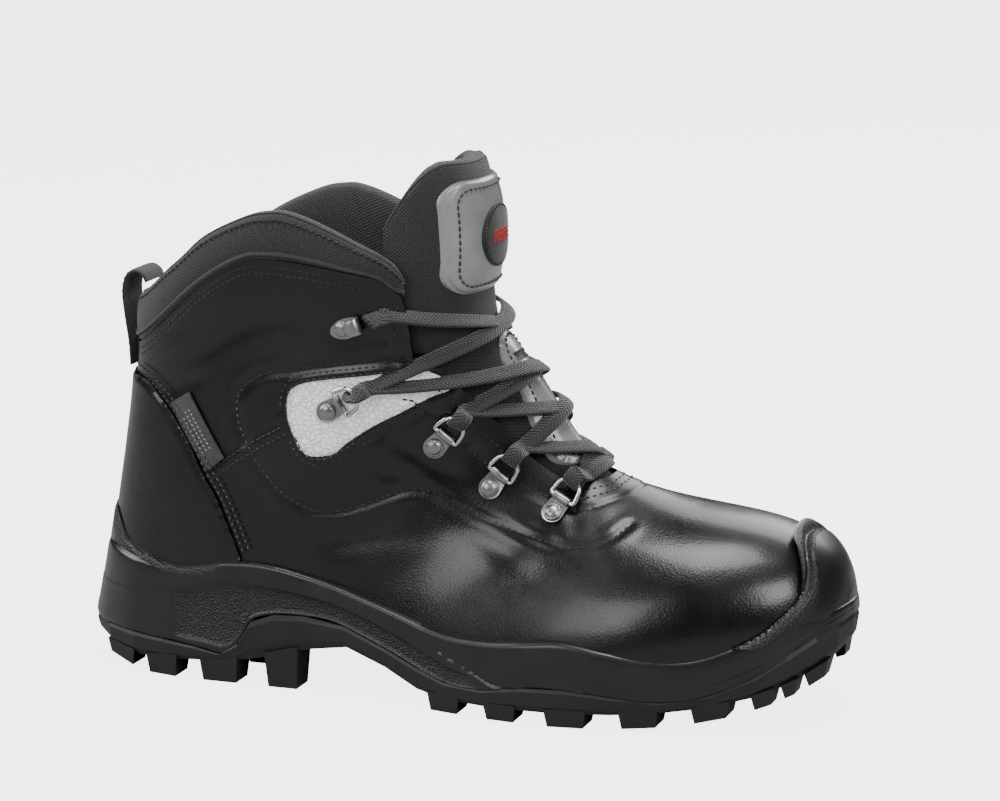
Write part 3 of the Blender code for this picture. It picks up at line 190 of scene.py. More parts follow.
# The throat, drawn on a plane that leans along the instep: distance down and half width
THROAT_REFERENCE = Vector((166.0, 1.5, 150.0))
THROAT_DOWN = Vector((0.6, 0.0, -0.8))
THROAT_OUT = Vector((0.8, 0.0, 0.6))
THROAT_EDGE = (
    (-30.0, 34.0), (-13.0, 33.0), (-4.0, 31.0), (4.0, 30.0), (17.0, 27.0), (28.0, 23.5), (48.0, 18.5),
    (62.0, 16.0), (72.0, 14.0), (78.0, 10.0), (80.5, 4.0),
)
# Where a cutter through one side starts and ends, out from the middle
CUT_START = 4.0
CUT_REACH = 95.0
# Where a cutter through the instep starts and ends, along its leaning direction, and one through the tongue
INSTEP_REACH = (-42.0, 60.0)
TONGUE_REACH = (120.0, 200.0)
# The rows of the last that a wall covers before it is cut to its outline
PANEL_ROWS = (0.0, 13.0)
COUNTER_ROWS = (1.0, 13.6)
LABEL_ROWS = (3.0, 12.0)
STRIP_ROWS = (2.0, 14.0)
HEEL_RISE_ROWS = (2.0, 14.0)
PANEL_GAP = 0.3
# The strip under the laces: its span down the throat, half its width, and its slot
STRIP_SPAN = (10.0, 71.0)
STRIP_HALF_WIDTH = 11.5
STRIP_SLOT = (20.0, 24.0, 6.5)

# The padded top of the tongue, level by level
TongueLevel = namedtuple("TongueLevel", "z front edge half_width")
TONGUE_LEVELS = (
    TongueLevel(136.0, 166.0, 140.0, 26.0),
    TongueLevel(144.0, 168.4, 138.0, 27.5),
    TongueLevel(150.0, 166.8, 137.0, 28.5),
    TongueLevel(157.0, 165.2, 136.0, 29.0),
    TongueLevel(165.0, 167.0, 135.0, 29.0),
    TongueLevel(178.0, 168.0, 134.0, 29.0),
    TongueLevel(192.0, 167.0, 134.0, 29.0),
    TongueLevel(203.0, 164.5, 133.0, 28.5),
    TongueLevel(216.0, 160.0, 132.0, 28.0),
)
TONGUE_TOP = (
    (110.0, 176.0), (131.0, 181.0), (135.0, 187.0), (142.0, 197.0), (150.0, 204.5), (157.0, 208.6),
    (165.0, 209.6), (190.0, 206.0),
)
TONGUE_PAD = 9.0
TONGUE_ROUNDNESS = 2.3

# Fittings on the last, by the row of the section and the share of the way round it from its top
Fitting = namedtuple("Fitting", "name rivet_row rivet_share ring_row ring_share")
EYELETS = (
    Fitting("1", 10.8, -0.18, 10.6, -0.13),
    Fitting("2", 8.9, -0.19, 8.4, -0.13),
    Fitting("3", 7.0, -0.23, 6.6, -0.19),
    Fitting("4", 5.2, -0.41, 5.0, -0.36),
)
HOOK = Fitting("hook", 3.2, -0.37, 3.1, -0.33)
SEAT_REACH = 10.0
# How far apart the places of a line lie when it is laid on a surface
PATH_STEP = 0.8
RIVET_TO_PIVOT = 6.2
PIVOT_HEIGHT = 2.25
WIRE_RADIUS = 0.9
RING_HALF_WIDTH = 5.3
RING_STRAIGHT = 2.2
RING_REACH = 6.0
RING_LIFT = 14.0
KNUCKLE_RADIUS = 1.8
KNUCKLE_HALF = 3.7
LACE_WIDTH = 7.0
LACE_THICK = 1.7


Grid = namedtuple("Grid", "rows half_steps")


class Quality(Enum):
    """How finely the dense skins are made: rows along the last, and steps round each half of it."""

    DRAFT = Grid(120, 48)
    FULL = Grid(290, 96)


QUALITY = Quality.FULL


def smooth(points: Sequence, positions: Iterable[float]) -> np.ndarray:
    """Values at fractional positions on a smooth curve through every point.

    Args:
        points: the rows to pass through.
        positions: where to read the curve, 0 at the first row.
    Returns:
        One row of values for each position.
    """
    points = np.asarray(points, float)
    last = len(points) - 1
    padded = np.vstack([2 * points[0] - points[1], points, 2 * points[-1] - points[-2]])
    found = []
    for position in positions:
        span = min(max(int(position), 0), last - 1)
        t = position - span
        a, b, c, d = padded[span : span + 4]
        found.append(
            0.5 * (2 * b + (c - a) * t + (2 * a - 5 * b + 4 * c - d) * t**2 + (3 * b - a - 3 * c + d) * t**3)
        )
    return np.array(found)


def traced(points: Sequence, count: int) -> np.ndarray:
    """Count places along a smooth curve through every point."""
    return smooth(points, np.linspace(0.0, len(points) - 1, count))


def distances_along(points: np.ndarray) -> np.ndarray:
    """How far along a polyline each of its points lies."""
    return np.concatenate([[0.0], np.cumsum(np.linalg.norm(np.diff(points, axis=0), axis=1))])


def unit(vectors: np.ndarray) -> np.ndarray:
    """The same directions, each of length one."""
    return vectors / np.linalg.norm(vectors, axis=-1, keepdims=True)


def evenly(points: np.ndarray, count: int) -> np.ndarray:
    """The polyline again, as count points an equal distance apart."""
    travelled = distances_along(points)
    wanted = np.linspace(0.0, travelled[-1], count)
    return np.stack([np.interp(wanted, travelled, column) for column in points.T], axis=1)


def toe_tip(grown: float) -> tuple[float, float, float]:
    """The foremost point of the last, grown outwards."""
    return (TOE_TIP[0] + grown, TOE_TIP[1], TOE_TIP[2])


def line_at(line: Sequence, x: float) -> float:
    """The height of a side-view line at x."""
    return float(np.interp(x, [point[0] for point in line], [point[1] for point in line]))


def rounded(line: Sequence, closed: bool = False) -> list:
    """A line through the same corners, drawn as a smooth curve."""
    if closed:
        line = tuple(line[-2:]) + tuple(line) + tuple(line[:3])
        places = np.linspace(2.0, len(line) - 3, 8 * (len(line) - 5) + 1)[:-1]
    else:
        places = np.linspace(0.0, len(line) - 1, 8 * len(line))
    return [tuple(point) for point in smooth(line, places)]


def halved(low: float, high: float, times: int, before: Callable[[float], bool]) -> tuple[float, float]:
    """Close in on the place where before turns from true to false, by halving the span."""
    for _ in range(times):
        middle = (low + high) / 2
        if before(middle):
            low = middle
        else:
            high = middle
    return low, high


def soft_step(low: float, high: float, value):
    """0 below low, 1 above high and a smooth rise between them."""
    share = np.clip((value - low) / (high - low), 0.0, 1.0)
    return share * share * (3.0 - 2.0 * share)


def hump(place, middle: float, width: float):
    """1 at the middle, falling softly to nothing within about two widths of it."""
    return np.exp(-(((place - middle) / width) ** 2))


def half_section(section: Section, side: int, steps: int) -> np.ndarray:
    """Points of one side of a section, from its top point round to its bottom point."""
    width = section.outer if side == OUTER else section.inner
    turn = np.linspace(0.0, math.pi, 361)
    rise, out = np.cos(turn), np.sin(turn)
    power = np.where(rise > 0, section.top_power, section.bottom_power)
    share = np.where(rise > 0, 1.0 - section.widest, section.widest)
    height = section.widest + share * np.sign(rise) * np.abs(rise) ** (2 / power)
    x = section.bottom_x + height * (section.top_x - section.bottom_x)
    z = section.bottom_z + height * (section.top_z - section.bottom_z)
    y = side * width * np.abs(out) ** (2 / power) + section.ridge_y * rise**2
    return evenly(np.stack([x, y, z], axis=1), steps + 1)


class Last:
    """The smooth form that the boot is built on.

    Its surface is read by row and share, as seen from the side, or as seen along the instep.
    """

    def __init__(self, grid: Grid) -> None:
        self.rows = np.linspace(0.0, len(LAST_SECTIONS) - 1, grid.rows)
        self.half_steps = half_steps = grid.half_steps
        lines = []
        for values in smooth(LAST_SECTIONS, self.rows):
            section = Section(*values)
            outer = half_section(section, OUTER, half_steps)
            inner = half_section(section, INNER, half_steps)
            lines.append(np.vstack([outer, inner[-2:0:-1]]))
        self.points = np.array(lines)
        self.normals = self._normals()
        self.tree = self.search()

    def _normals(self) -> np.ndarray:
        """Unit vectors out of the surface at each grid point."""
        around = np.roll(self.points, -1, axis=1) - np.roll(self.points, 1, axis=1)
        along = np.gradient(self.points, axis=0)
        normals = unit(np.cross(around, along))
        outward = self.points - self.points.mean(axis=1, keepdims=True)
        return normals * np.sign((normals * outward).sum())

    def search(self) -> BVHTree:
        """A search tree of the surface's faces."""
        rows, around, _ = self.points.shape
        faces = []
        for row in range(rows - 1):
            for step in range(around):
                after = (step + 1) % around
                low, high = row * around, (row + 1) * around
                faces.append((low + step, low + after, high + after, high + step))
        return BVHTree.FromPolygons([Vector(point) for point in self.points.reshape(-1, 3)], faces)

    def from_side(self, x: float, z: float, side: int) -> tuple[Vector, Vector]:
        """The surface point and outward direction seen at x and z from one side."""
        start = Vector((x, side * 150.0, z))
        point, normal, _, _ = self.tree.ray_cast(start, Vector((0.0, -side, 0.0)))
        if point is None:
            point, normal, _, _ = self.tree.find_nearest(Vector((x, side * 8.0, z)))
        return point, self.outward(point, normal)

    def from_instep(self, down: float, across: float) -> tuple[Vector, Vector]:
        """The surface point and outward direction at a place on the instep's leaning plane."""
        start = THROAT_REFERENCE + THROAT_DOWN * down + Y_AXIS * across + THROAT_OUT * 90.0
        point, normal, _, _ = self.tree.ray_cast(start, -THROAT_OUT)
        if point is None:
            point, normal, _, _ = self.tree.find_nearest(start)
        return point, self.outward(point, normal)

    def outward(self, point: Vector, normal: Vector) -> Vector:
        """The normal, turned away from the middle of the foot if need be."""
        middle = Vector((min(max(point.x, 60.0), 280.0), 2.0, min(point.z - 4.0, 70.0)))
        if point.z > 100.0:
            middle = Vector((95.0, 0.0, point.z - 8.0))
        return normal if normal.dot(point - middle) > 0 else -normal

    def at(self, row: float, share: float) -> tuple[Vector, Vector]:
        """The surface point and outward direction at a row and share."""
        def spot(at_row: float, at_share: float) -> Vector:
            section = Section(*smooth(LAST_SECTIONS, [at_row])[0])
            half = half_section(section, OUTER if at_share < 0 else INNER, 60)
            stations = np.linspace(0.0, 1.0, len(half))
            return Vector([np.interp(abs(at_share), stations, column) for column in half.T])

        along = spot(row + 0.3, share) - spot(row - 0.3, share)
        around = spot(row, share + 0.04) - spot(row, share - 0.04)
        return spot(row, share), along.cross(around).normalized()

    def side_path(self, line: Sequence, side: int) -> tuple[np.ndarray, np.ndarray]:
        """A smooth side-view line laid on the surface.

        Returns:
            The points, about PATH_STEP apart, and the outward directions there.
        """
        return self._laid(line, lambda x, z: self.from_side(x, z, side))

    def instep_path(self, line: Sequence) -> tuple[np.ndarray, np.ndarray]:
        """A smooth line of the instep's plane laid on the surface, as side_path returns it."""
        return self._laid(line, self.from_instep)

    def _laid(self, line: Sequence, seen: Callable) -> tuple[np.ndarray, np.ndarray]:
        """A smooth line laid on the surface by the way that it is seen."""
        curve = traced(line, 12 * len(line))
        count = max(int(distances_along(curve)[-1] / PATH_STEP), 4)
        hits = [seen(*place) for place in evenly(curve, count)]
        return np.array([hit[0] for hit in hits]), np.array([hit[1] for hit in hits])


class Draft:
    """Points, faces and plan coordinates of a piece while it is put together."""

    def __init__(self) -> None:
        self.points: list = []
        self.faces: list = []
        self.plan: list = []
        self.slots: list = []

    def grid(
        self,
        points: np.ndarray,
        plan: Optional[np.ndarray] = None,
        closed: bool = False,
        material: int = 0,
    ) -> int:
        """Add a sheet of quads.

        Args:
            points: rows of points.
            plan: the two plan coordinates of each point, in millimetres.
            closed: whether each row closes on itself.
            material: the material number of the faces.
        Returns:
            The number of the sheet's first point.
        """
        rows, count, _ = points.shape
        start = len(self.points)
        self.points += [tuple(point) for point in points.reshape(-1, 3)]
        plan = np.zeros((rows, count, 2)) if plan is None else plan
        self.plan += [tuple(point) for point in plan.reshape(-1, 2)]
        last = count if closed else count - 1
        for row in range(rows - 1):
            for step in range(last):
                after = (step + 1) % count
                low, high = start + row * count, start + (row + 1) * count
                self.face((low + step, low + after, high + after, high + step), material)
        return start

    def face(self, corners: Sequence[int], material: int = 0) -> None:
        """Add one face through points that are already there."""
        self.faces.append(tuple(corners))
        self.slots.append(material)

    def tube(self, rings: np.ndarray, plan: Optional[np.ndarray] = None) -> "Draft":
        """Add closed rings joined into a tube, with a cap on each end."""
        start = self.grid(rings, plan, closed=True)
        count = rings.shape[1]
        end = start + (rings.shape[0] - 1) * count
        self.face([start + step for step in range(count)][::-1])
        self.face([end + step for step in range(count)])
        return self

    def fan(self, line: np.ndarray, tip: Sequence[float]) -> None:
        """Close a ring of points with triangles that meet at a tip."""
        start, around = len(self.points), len(line)
        self.points += [tuple(point) for point in line] + [tuple(tip)]
        self.plan += [(0.0, 0.0)] * (around + 1)
        for step in range(around):
            self.face((start + step, start + (step + 1) % around, start + around))

    def build(self, name: str) -> bpy.types.Object:
        """Make the object in the row's frame, smooth and with outward faces."""
        mesh = bpy.data.meshes.new(name)
        mesh.from_pydata([tuple((Vector(point) + TO_ROW) * MM) for point in self.points], [], self.faces)
        layer = mesh.uv_layers.new(name="plan")
        corners = np.empty(len(mesh.loops), int)
        mesh.loops.foreach_get("vertex_index", corners)
        layer.data.foreach_set("uv", np.array(self.plan, float)[corners].ravel())
        mesh.polygons.foreach_set("material_index", self.slots)
        body = bmesh.new()
        body.from_mesh(mesh)
        bmesh.ops.remove_doubles(body, verts=body.verts, dist=0.00001)
        bmesh.ops.recalc_face_normals(body, faces=body.faces)
        body.to_mesh(mesh)
        body.free()
        made = bpy.data.objects.new(name, mesh)
        bpy.context.scene.collection.objects.link(made)
        mesh.shade_smooth()
        mesh.set_sharp_from_angle(angle=math.radians(38))
        return made


def flat_prism(
    name: str, outline: Sequence, origin: Vector, across: Vector, up: Vector, near: float, far: float
) -> bpy.types.Object:
    """A plain straight solid that cuts the dense skins. It is used up by the cut."""
    deep = across.cross(up)
    rings = [[origin + across * a + up * b + deep * depth for a, b in outline] for depth in (near, far)]
    return Draft().tube(np.array(rings)).build(name)


def side_prism(name: str, outline: Sequence, side: int = 0) -> bpy.types.Object:
    """A cutter with this side view, right across the boot or through one side of it."""
    reaches = {0: (-CUT_REACH, CUT_REACH), OUTER: (CUT_START, CUT_REACH), INNER: (-CUT_REACH, -CUT_START)}
    return flat_prism(name, outline, Vector(), X_AXIS, Z_AXIS, *reaches[side])


def instep_prism(name: str, outline: Sequence, origin: Vector = THROAT_REFERENCE) -> bpy.types.Object:
    """A cutter that goes straight through the instep, with this outline on its leaning plane."""
    return flat_prism(name, outline, origin, THROAT_DOWN, Y_AXIS, *INSTEP_REACH)


def front_prism(outline: Sequence, height: float) -> bpy.types.Object:
    """A cutter through the tongue, with this front view about a height."""
    return flat_prism("outline", outline, Z_AXIS * height, Y_AXIS, Z_AXIS, *TONGUE_REACH)


def above(line: Sequence, height: float = 0.0) -> bpy.types.Object:
    """A cutter that holds everything above a side-view line."""
    raised = [(x, z + height) for x, z in line]
    return side_prism("above", raised + [(raised[-1][0], 270.0), (raised[0][0], 270.0)])


def below(line: Sequence, height: float = 0.0) -> bpy.types.Object:
    """A cutter that holds everything below a side-view line."""
    raised = [(x, z + height) for x, z in line]
    return side_prism("below", raised + [(raised[-1][0], -60.0), (raised[0][0], -60.0)])


def throat_outline(margin: float = 0.0) -> list[tuple[float, float]]:
    """The U-shaped outline of the throat, wider all round by a margin."""
    edge = traced(THROAT_EDGE, 41)
    one_side = [(down + (margin if half < 16 else 0.0), half + margin) for down, half in edge]
    return one_side + [(down, -half) for down, half in reversed(one_side)]


def combine(base: bpy.types.Object, tool: bpy.types.Object, operation: str) -> bpy.types.Object:
    """Cut the base with a tool, or keep what they share. The tool is used up.

    A cut that fails empties the base, or leaves it whole, so it is tried again with the tool a little aside.
    """
    for piece in (base, tool):
        body = bmesh.new()
        body.from_mesh(piece.data)
        bmesh.ops.triangulate(body, faces=body.faces)
        body.to_mesh(piece.data)
        body.free()
    before = len(base.data.vertices)
    for nudge in (0.0, 0.013, -0.017, 0.029, -0.037):
        tool.location = Vector((nudge, 0.6 * nudge, -0.8 * nudge)) * MM
        modifier = base.modifiers.new("cut", "BOOLEAN")
        modifier.operation = operation
        modifier.solver = "EXACT"
        modifier.object = tool
        shown = base.evaluated_get(bpy.context.evaluated_depsgraph_get())
        result = bpy.data.meshes.new_from_object(shown)
        base.modifiers.clear()
        if len(result.vertices) > 0.002 * before and len(result.vertices) != before:
            break
        LOG.info("%s: cut with %s tried again", base.name, tool.name)
    base.data = result
    bpy.data.objects.remove(tool)
    return base


def own_material(name: str) -> tuple[bpy.types.Material, "Shader"]:
    """A new material and the helper that wires its nodes."""
    material = bpy.data.materials.new(name)
    material.use_nodes = True
    return material, Shader(material)


class Shader:
    """Short ways to wire a material's nodes."""

    def __init__(self, material: bpy.types.Material) -> None:
        self.tree = material.node_tree
        self.surface = self.tree.nodes["Principled BSDF"]

    def add(self, kind: str, **inputs):
        """A node of this kind. Each keyword sets the input of that name, or links another socket to it."""
        node = self.tree.nodes.new(kind)
        for name, value in inputs.items():
            self.give(node, name.replace("_", " "), value)
        return node

    def give(self, node, name, value) -> None:
        """Set an input, by name or number, to a value or to another node's socket."""
        socket = node.inputs[name]
        if isinstance(value, bpy.types.NodeSocket):
            self.tree.links.new(value, socket)
        else:
            socket.default_value = value

    def math(self, operation: str, first, second=0.0, third=0.0):
        """The result of one sum."""
        node = self.tree.nodes.new("ShaderNodeMath")
        node.operation = operation
        for number, value in enumerate((first, second, third)):
            self.give(node, number, value)
        return node.outputs[0]

    def times(self, first, second):
        """The product of two values."""
        return self.math("MULTIPLY", first, second)

    def plus(self, first, second):
        """The sum of two values."""
        return self.math("ADD", first, second)

    def place(self):
        """Object coordinates, in metres."""
        return self.add("ShaderNodeTexCoord").outputs["Object"]

    def plan(self):
        """The piece's own plan coordinates, in millimetres, as two sockets."""
        split = self.add("ShaderNodeSeparateXYZ", Vector=self.add("ShaderNodeTexCoord").outputs["UV"])
        return split.outputs[0], split.outputs[1]

    def noise(self, scale: float, detail: float = 4.0, roughness: float = 0.55):
        """Cloudy noise of this many cells a metre, in Object coordinates."""
        return self.add(
            "ShaderNodeTexNoise", Vector=self.place(), Scale=scale, Detail=detail, Roughness=roughness
        ).outputs["Fac"]

    def cells(self, scale: float, feature: str = "F1"):
        """The distance from the middle of cells, this many a metre."""
        node = self.add("ShaderNodeTexVoronoi", Vector=self.place(), Scale=scale)
        node.feature = feature
        return node.outputs["Distance"]

    def between(self, value, low: float, high: float, out_low: float, out_high: float):
        """A value moved from one range to another, kept inside it."""
        node = self.add("ShaderNodeMapRange")
        for number, given in enumerate((value, low, high, out_low, out_high)):
            self.give(node, number, given)
        return node.outputs[0]

    def mixed(self, share, first: tuple, second: tuple):
        """A colour between two colours."""
        node = self.tree.nodes.new("ShaderNodeMix")
        node.data_type = "RGBA"
        self.give(node, 0, share)
        self.give(node, 6, (*first, 1.0))
        self.give(node, 7, (*second, 1.0))
        return node.outputs[2]

    def bump(self, *layers: tuple) -> None:
        """Bump the surface with layers of (height socket, strength, distance in metres)."""
        normal = None
        for height, strength, distance in layers:
            node = self.add("ShaderNodeBump", Height=height, Strength=strength, Distance=distance)
            if normal is not None:
                self.give(node, "Normal", normal)
            normal = node.outputs[0]
        self.give(self.surface, "Normal", normal)

    def finish(self, **inputs) -> None:
        """Set the surface's inputs."""
        for name, value in inputs.items():
            self.give(self.surface, name.replace("_", " "), value)


@dataclass(frozen=True)
class Leather:
    """Black leather: its colour, sheen and grain."""

    name: str
    dark: tuple = (0.002, 0.002, 0.0022)
    light: tuple = (0.0052, 0.005, 0.0048)
    roughness: float = 0.3
    coat: float = 0.22
    coat_roughness: float = 0.16
    grain: float = 0.2

    def make(self) -> bpy.types.Material:
        """The material: pebbled grain, pores, and cloudy changes of gloss."""
        material, shader = own_material(self.name)
        clouds = shader.noise(28.0, 3.0)
        pores = shader.noise(1500.0, 3.0)
        grain = shader.cells(1150.0)
        long_creases = shader.noise(120.0, 5.0, 0.6)
        shader.finish(
            Base_Color=shader.mixed(shader.between(clouds, 0.35, 0.7, 0.0, 1.0), self.dark, self.light),
            Roughness=shader.between(clouds, 0.3, 0.7, self.roughness - 0.05, self.roughness + 0.09),
            Coat_Weight=self.coat,
            Coat_Roughness=self.coat_roughness,
            Specular_IOR_Level=0.38,
        )
        shader.bump(
            (long_creases, 0.25, 0.0004),
            (grain, self.grain, 0.00022),
            (pores, self.grain * 0.8, 0.0001),
        )
        return material


@dataclass(frozen=True)
class Weave:
    """Woven cloth with threads this many millimetres apart, turned by an angle."""

    name: str
    dark: tuple
    light: tuple
    pitch: float
    turn: float = 45.0
    roughness: float = 0.8
    depth: float = 0.00035
    sheen: float = 0.25

    def make(self) -> bpy.types.Material:
        """The material: two sets of threads that pass over and under each other."""
        material, shader = own_material(self.name)
        across, along = shader.plan()
        turn = math.radians(self.turn)
        scale = math.pi / self.pitch
        cosine, sine = scale * math.cos(turn), scale * math.sin(turn)
        first = shader.plus(shader.times(across, cosine), shader.times(along, sine))
        second = shader.plus(shader.times(across, -sine), shader.times(along, cosine))
        weave = shader.times(shader.math("SINE", first), shader.math("SINE", second))
        height = shader.math("ABSOLUTE", weave)
        speckle = shader.noise(900.0, 2.0)
        share = shader.times(height, shader.between(speckle, 0.3, 0.7, 0.4, 1.0))
        shader.finish(
            Base_Color=shader.mixed(share, self.dark, self.light),
            Roughness=self.roughness,
            Sheen_Weight=self.sheen,
        )
        shader.bump((shader.noise(90.0, 3.0), 0.3, 0.0006), (height, 0.8, self.depth))
        return material


@dataclass(frozen=True)
class Braid:
    """A flat braid whose strands lie as chevrons along it."""

    name: str
    dark: tuple = (0.002, 0.002, 0.002)
    light: tuple = (0.017, 0.0165, 0.0155)
    pitch: float = 1.5

    def make(self) -> bpy.types.Material:
        """The material: chevron ridges that meet down the middle of the band."""
        material, shader = own_material(self.name)
        across, along = shader.plan()
        slant = shader.plus(along, shader.times(shader.math("ABSOLUTE", across), 0.9))
        ridge = shader.math("ABSOLUTE", shader.math("SINE", shader.times(slant, math.pi / self.pitch)))
        cross = shader.math("ABSOLUTE", shader.math("SINE", shader.times(across, math.pi / 1.15)))
        height = shader.times(ridge, shader.between(cross, 0.0, 0.5, 0.35, 1.0))
        shader.finish(
            Base_Color=shader.mixed(height, self.dark, self.light), Roughness=0.72, Sheen_Weight=0.3
        )
        shader.bump((height, 0.9, 0.0005))
        return material


@dataclass(frozen=True)
class Moulded:
    """Moulded plastic or rubber, with stipple where the piece's stipple attribute says."""

    name: str
    dark: tuple
    light: tuple
    roughness: float
    coat: float = 0.0
    texture: float = 0.12

    def make(self) -> bpy.types.Material:
        """The material: a smooth satin skin, or fine stipple."""
        material, shader = own_material(self.name)
        stipple = shader.add("ShaderNodeAttribute")
        stipple.attribute_name = "stipple"
        stipple_share = stipple.outputs["Fac"]
        clouds = shader.noise(45.0, 4.0)
        beads = shader.cells(1350.0)
        fine = shader.noise(1400.0, 2.0)
        rough = shader.between(clouds, 0.3, 0.7, self.roughness - 0.05, self.roughness + 0.08)
        shader.finish(
            Base_Color=shader.mixed(shader.between(clouds, 0.35, 0.7, 0.0, 1.0), self.dark, self.light),
            Roughness=shader.plus(rough, shader.times(stipple_share, 0.18)),
            Coat_Weight=self.coat,
            Coat_Roughness=0.2,
        )
        shader.bump(
            (fine, self.texture, 0.0002),
            (shader.times(beads, stipple_share), 1.0, 0.0006),
        )
        return material


@dataclass(frozen=True)
class CellTextile:
    """White reflective textile embossed with soft cells, made brighter by a painted glow of its own."""

    name: str
    dark: tuple = (0.6, 0.61, 0.62)
    light: tuple = (0.9, 0.91, 0.91)
    # How strongly the panel glows: painted light that brightens it beyond its lighting
    painted_glow: float = 0.22

    def make(self) -> bpy.types.Material:
        """The material: soft rounded cells with darker lines between them, and a painted white glow over the
        whole panel.
        """
        material, shader = own_material(self.name)
        cells = shader.cells(430.0, "F2")
        close = shader.cells(430.0)
        line = shader.between(shader.math("SUBTRACT", cells, close), 0.0, 0.25, 0.0, 1.0)
        fine = shader.noise(1600.0, 2.0)
        shader.finish(
            Base_Color=shader.mixed(line, self.dark, self.light),
            Roughness=0.42,
            Metallic=0.1,
            Sheen_Weight=0.2,
            # Painted light: the panel gives off white light of its own, so it looks brighter than the lamps
            # make it
            Emission_Color=WHITE,
            Emission_Strength=self.painted_glow,
        )
        shader.bump((line, 0.7, 0.0006), (fine, 0.3, 0.0002))
        return material


@dataclass(frozen=True)
class Metal:
    """Plated steel with small marks in its polish."""

    name: str
    colour: tuple
    roughness: float

    def make(self) -> bpy.types.Material:
        """The material: polished metal, duller in fine cloudy patches."""
        material, shader = own_material(self.name)
        clouds = shader.noise(500.0, 4.0)
        shader.finish(
            Base_Color=(*self.colour, 1.0),
            Metallic=1.0,
            Roughness=shader.between(clouds, 0.3, 0.7, self.roughness - 0.06, self.roughness + 0.1),
        )
        shader.bump((shader.noise(900.0, 3.0), 0.08, 0.0001))
        return material


@dataclass(frozen=True)
class Thread:
    """Sewing thread, twisted along its length."""

    name: str
    dark: tuple
    light: tuple

    def make(self) -> bpy.types.Material:
        """The material: a soft twist, a little lighter on its ridges."""
        material, shader = own_material(self.name)
        twist = shader.noise(2600.0, 2.0)
        colour = shader.mixed(twist, self.dark, self.light)
        shader.finish(Base_Color=colour, Roughness=0.45, Sheen_Weight=0.06)
        shader.bump((twist, 0.5, 0.0002))
        return material


RECIPES = {
    "leather": Leather("black_leather"),
    "patch": Leather("silver_leather", (0.14, 0.14, 0.145), (0.27, 0.27, 0.275), 0.27, 0.7, 0.14, 0.3),
    "edge": Leather("cut_leather_edge", (0.05, 0.055, 0.048), (0.09, 0.095, 0.085), 0.75, 0.0, 0.5, 0.5),
    "cordura": Weave("cordura", (0.0016, 0.0014, 0.0012), (0.03, 0.0265, 0.023), pitch=0.95),
    "binding": Weave("binding", (0.004, 0.004, 0.004), (0.022, 0.021, 0.02), pitch=0.45, turn=0.0),
    "lining": Weave("navy_mesh", (0.004, 0.005, 0.009), (0.03, 0.036, 0.06), 1.1, 45.0, 0.85, 0.0006),
    "felt": Weave("insole_cloth", (0.01, 0.011, 0.015), (0.045, 0.047, 0.06), 0.7, turn=30.0, roughness=0.9),
    "webbing": Weave("webbing", (0.004, 0.004, 0.004), (0.035, 0.034, 0.032), pitch=0.5, turn=60.0),
    "label": Weave("woven_label", (0.006, 0.006, 0.006), (0.03, 0.029, 0.028), pitch=0.3, turn=0.0),
    "lace": Braid("flat_braid"),
    "panel": CellTextile("cell_textile"),
    "midsole": Moulded("polyurethane", (0.003, 0.003, 0.0032), (0.006, 0.006, 0.0062), 0.36, coat=0.15),
    "rubber": Moulded("sole_rubber", (0.006, 0.006, 0.0062), (0.012, 0.012, 0.0124), 0.55, texture=0.3),
    "gunmetal": Metal("gunmetal", (0.3, 0.295, 0.285), 0.34),
    "wire": Metal("pale_wire", (0.62, 0.61, 0.59), 0.22),
    "rivet": Metal("antique_silver", (0.55, 0.5, 0.45), 0.33),
    "thread": Thread("black_thread", (0.002, 0.002, 0.002), (0.009, 0.009, 0.009)),
    "badge_thread": Thread("badge_thread", (0.25, 0.012, 0.014), (0.5, 0.03, 0.035)),
    "pale_thread": Thread("pale_thread", (0.3, 0.3, 0.3), (0.6, 0.6, 0.6)),
}


class Finishes:
    """Every material of the boot, made once from its recipe and read by its name."""

    def __init__(self) -> None:
        for name, recipe in RECIPES.items():
            setattr(self, name, recipe.make())


def give_materials(piece: bpy.types.Object, materials: Sequence) -> None:
    """Put these materials on a piece, in place of what it has."""
    piece.data.materials.clear()
    for material in materials:
        piece.data.materials.append(material)


def register(piece: bpy.types.Object, materials, slot: str, *nodes: str) -> bpy.types.Object:
    """Give a piece its materials and its place in the frame.

    Args:
        piece: the finished object.
        materials: one material, or several in the order of the piece's material numbers.
        slot: the record's material slot.
        nodes: the nodes that the piece stands for.
    Returns:
        The piece.
    """
    wanted = materials if isinstance(materials, tuple) else (materials,)
    if len(wanted) == 1:
        piece.data.polygons.foreach_set("material_index", [0] * len(piece.data.polygons))
    give_materials(piece, wanted)
    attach(piece, "root")
    if nodes:
        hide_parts(*nodes)
    LOG.info("%s: %d faces, slot %s", piece.name, len(piece.data.polygons), slot)
    return piece


def search_tree(points: Sequence) -> KDTree:
    """A tree that finds the nearest of these points."""
    tree = KDTree(len(points))
    for number, point in enumerate(points):
        tree.insert(point, number)
    tree.balance()
    return tree


def near_line(points: np.ndarray, line: np.ndarray) -> np.ndarray:
    """The distance from each point to the nearest point of a densely sampled line."""
    tree = search_tree(line)
    return np.array([tree.find(point)[2] for point in points])


def side_distance(points: np.ndarray, normals: np.ndarray, line: Sequence) -> np.ndarray:
    """How far points on a surface lie from a side-view line, measured along the surface.

    Args:
        points: the places, in the maker's frame.
        normals: the surface's directions there.
        line: the line's corners, as x and z.
    Returns:
        One distance for each point.
    """
    tree = search_tree([(x, 0.0, z) for x, z in evenly(np.array(line, float), 40 * len(line))])
    distances = np.empty(len(points))
    for number, (point, normal) in enumerate(zip(points, normals)):
        near, _, flat = tree.find((point[0], 0.0, point[2]))
        slope = 0.0
        if flat > 1e-6:
            slope = (normal[0] * (point[0] - near[0]) + normal[2] * (point[2] - near[2])) / flat
        distances[number] = flat / max(math.sqrt(max(1.0 - slope * slope, 0.0)), 0.35)
    return distances


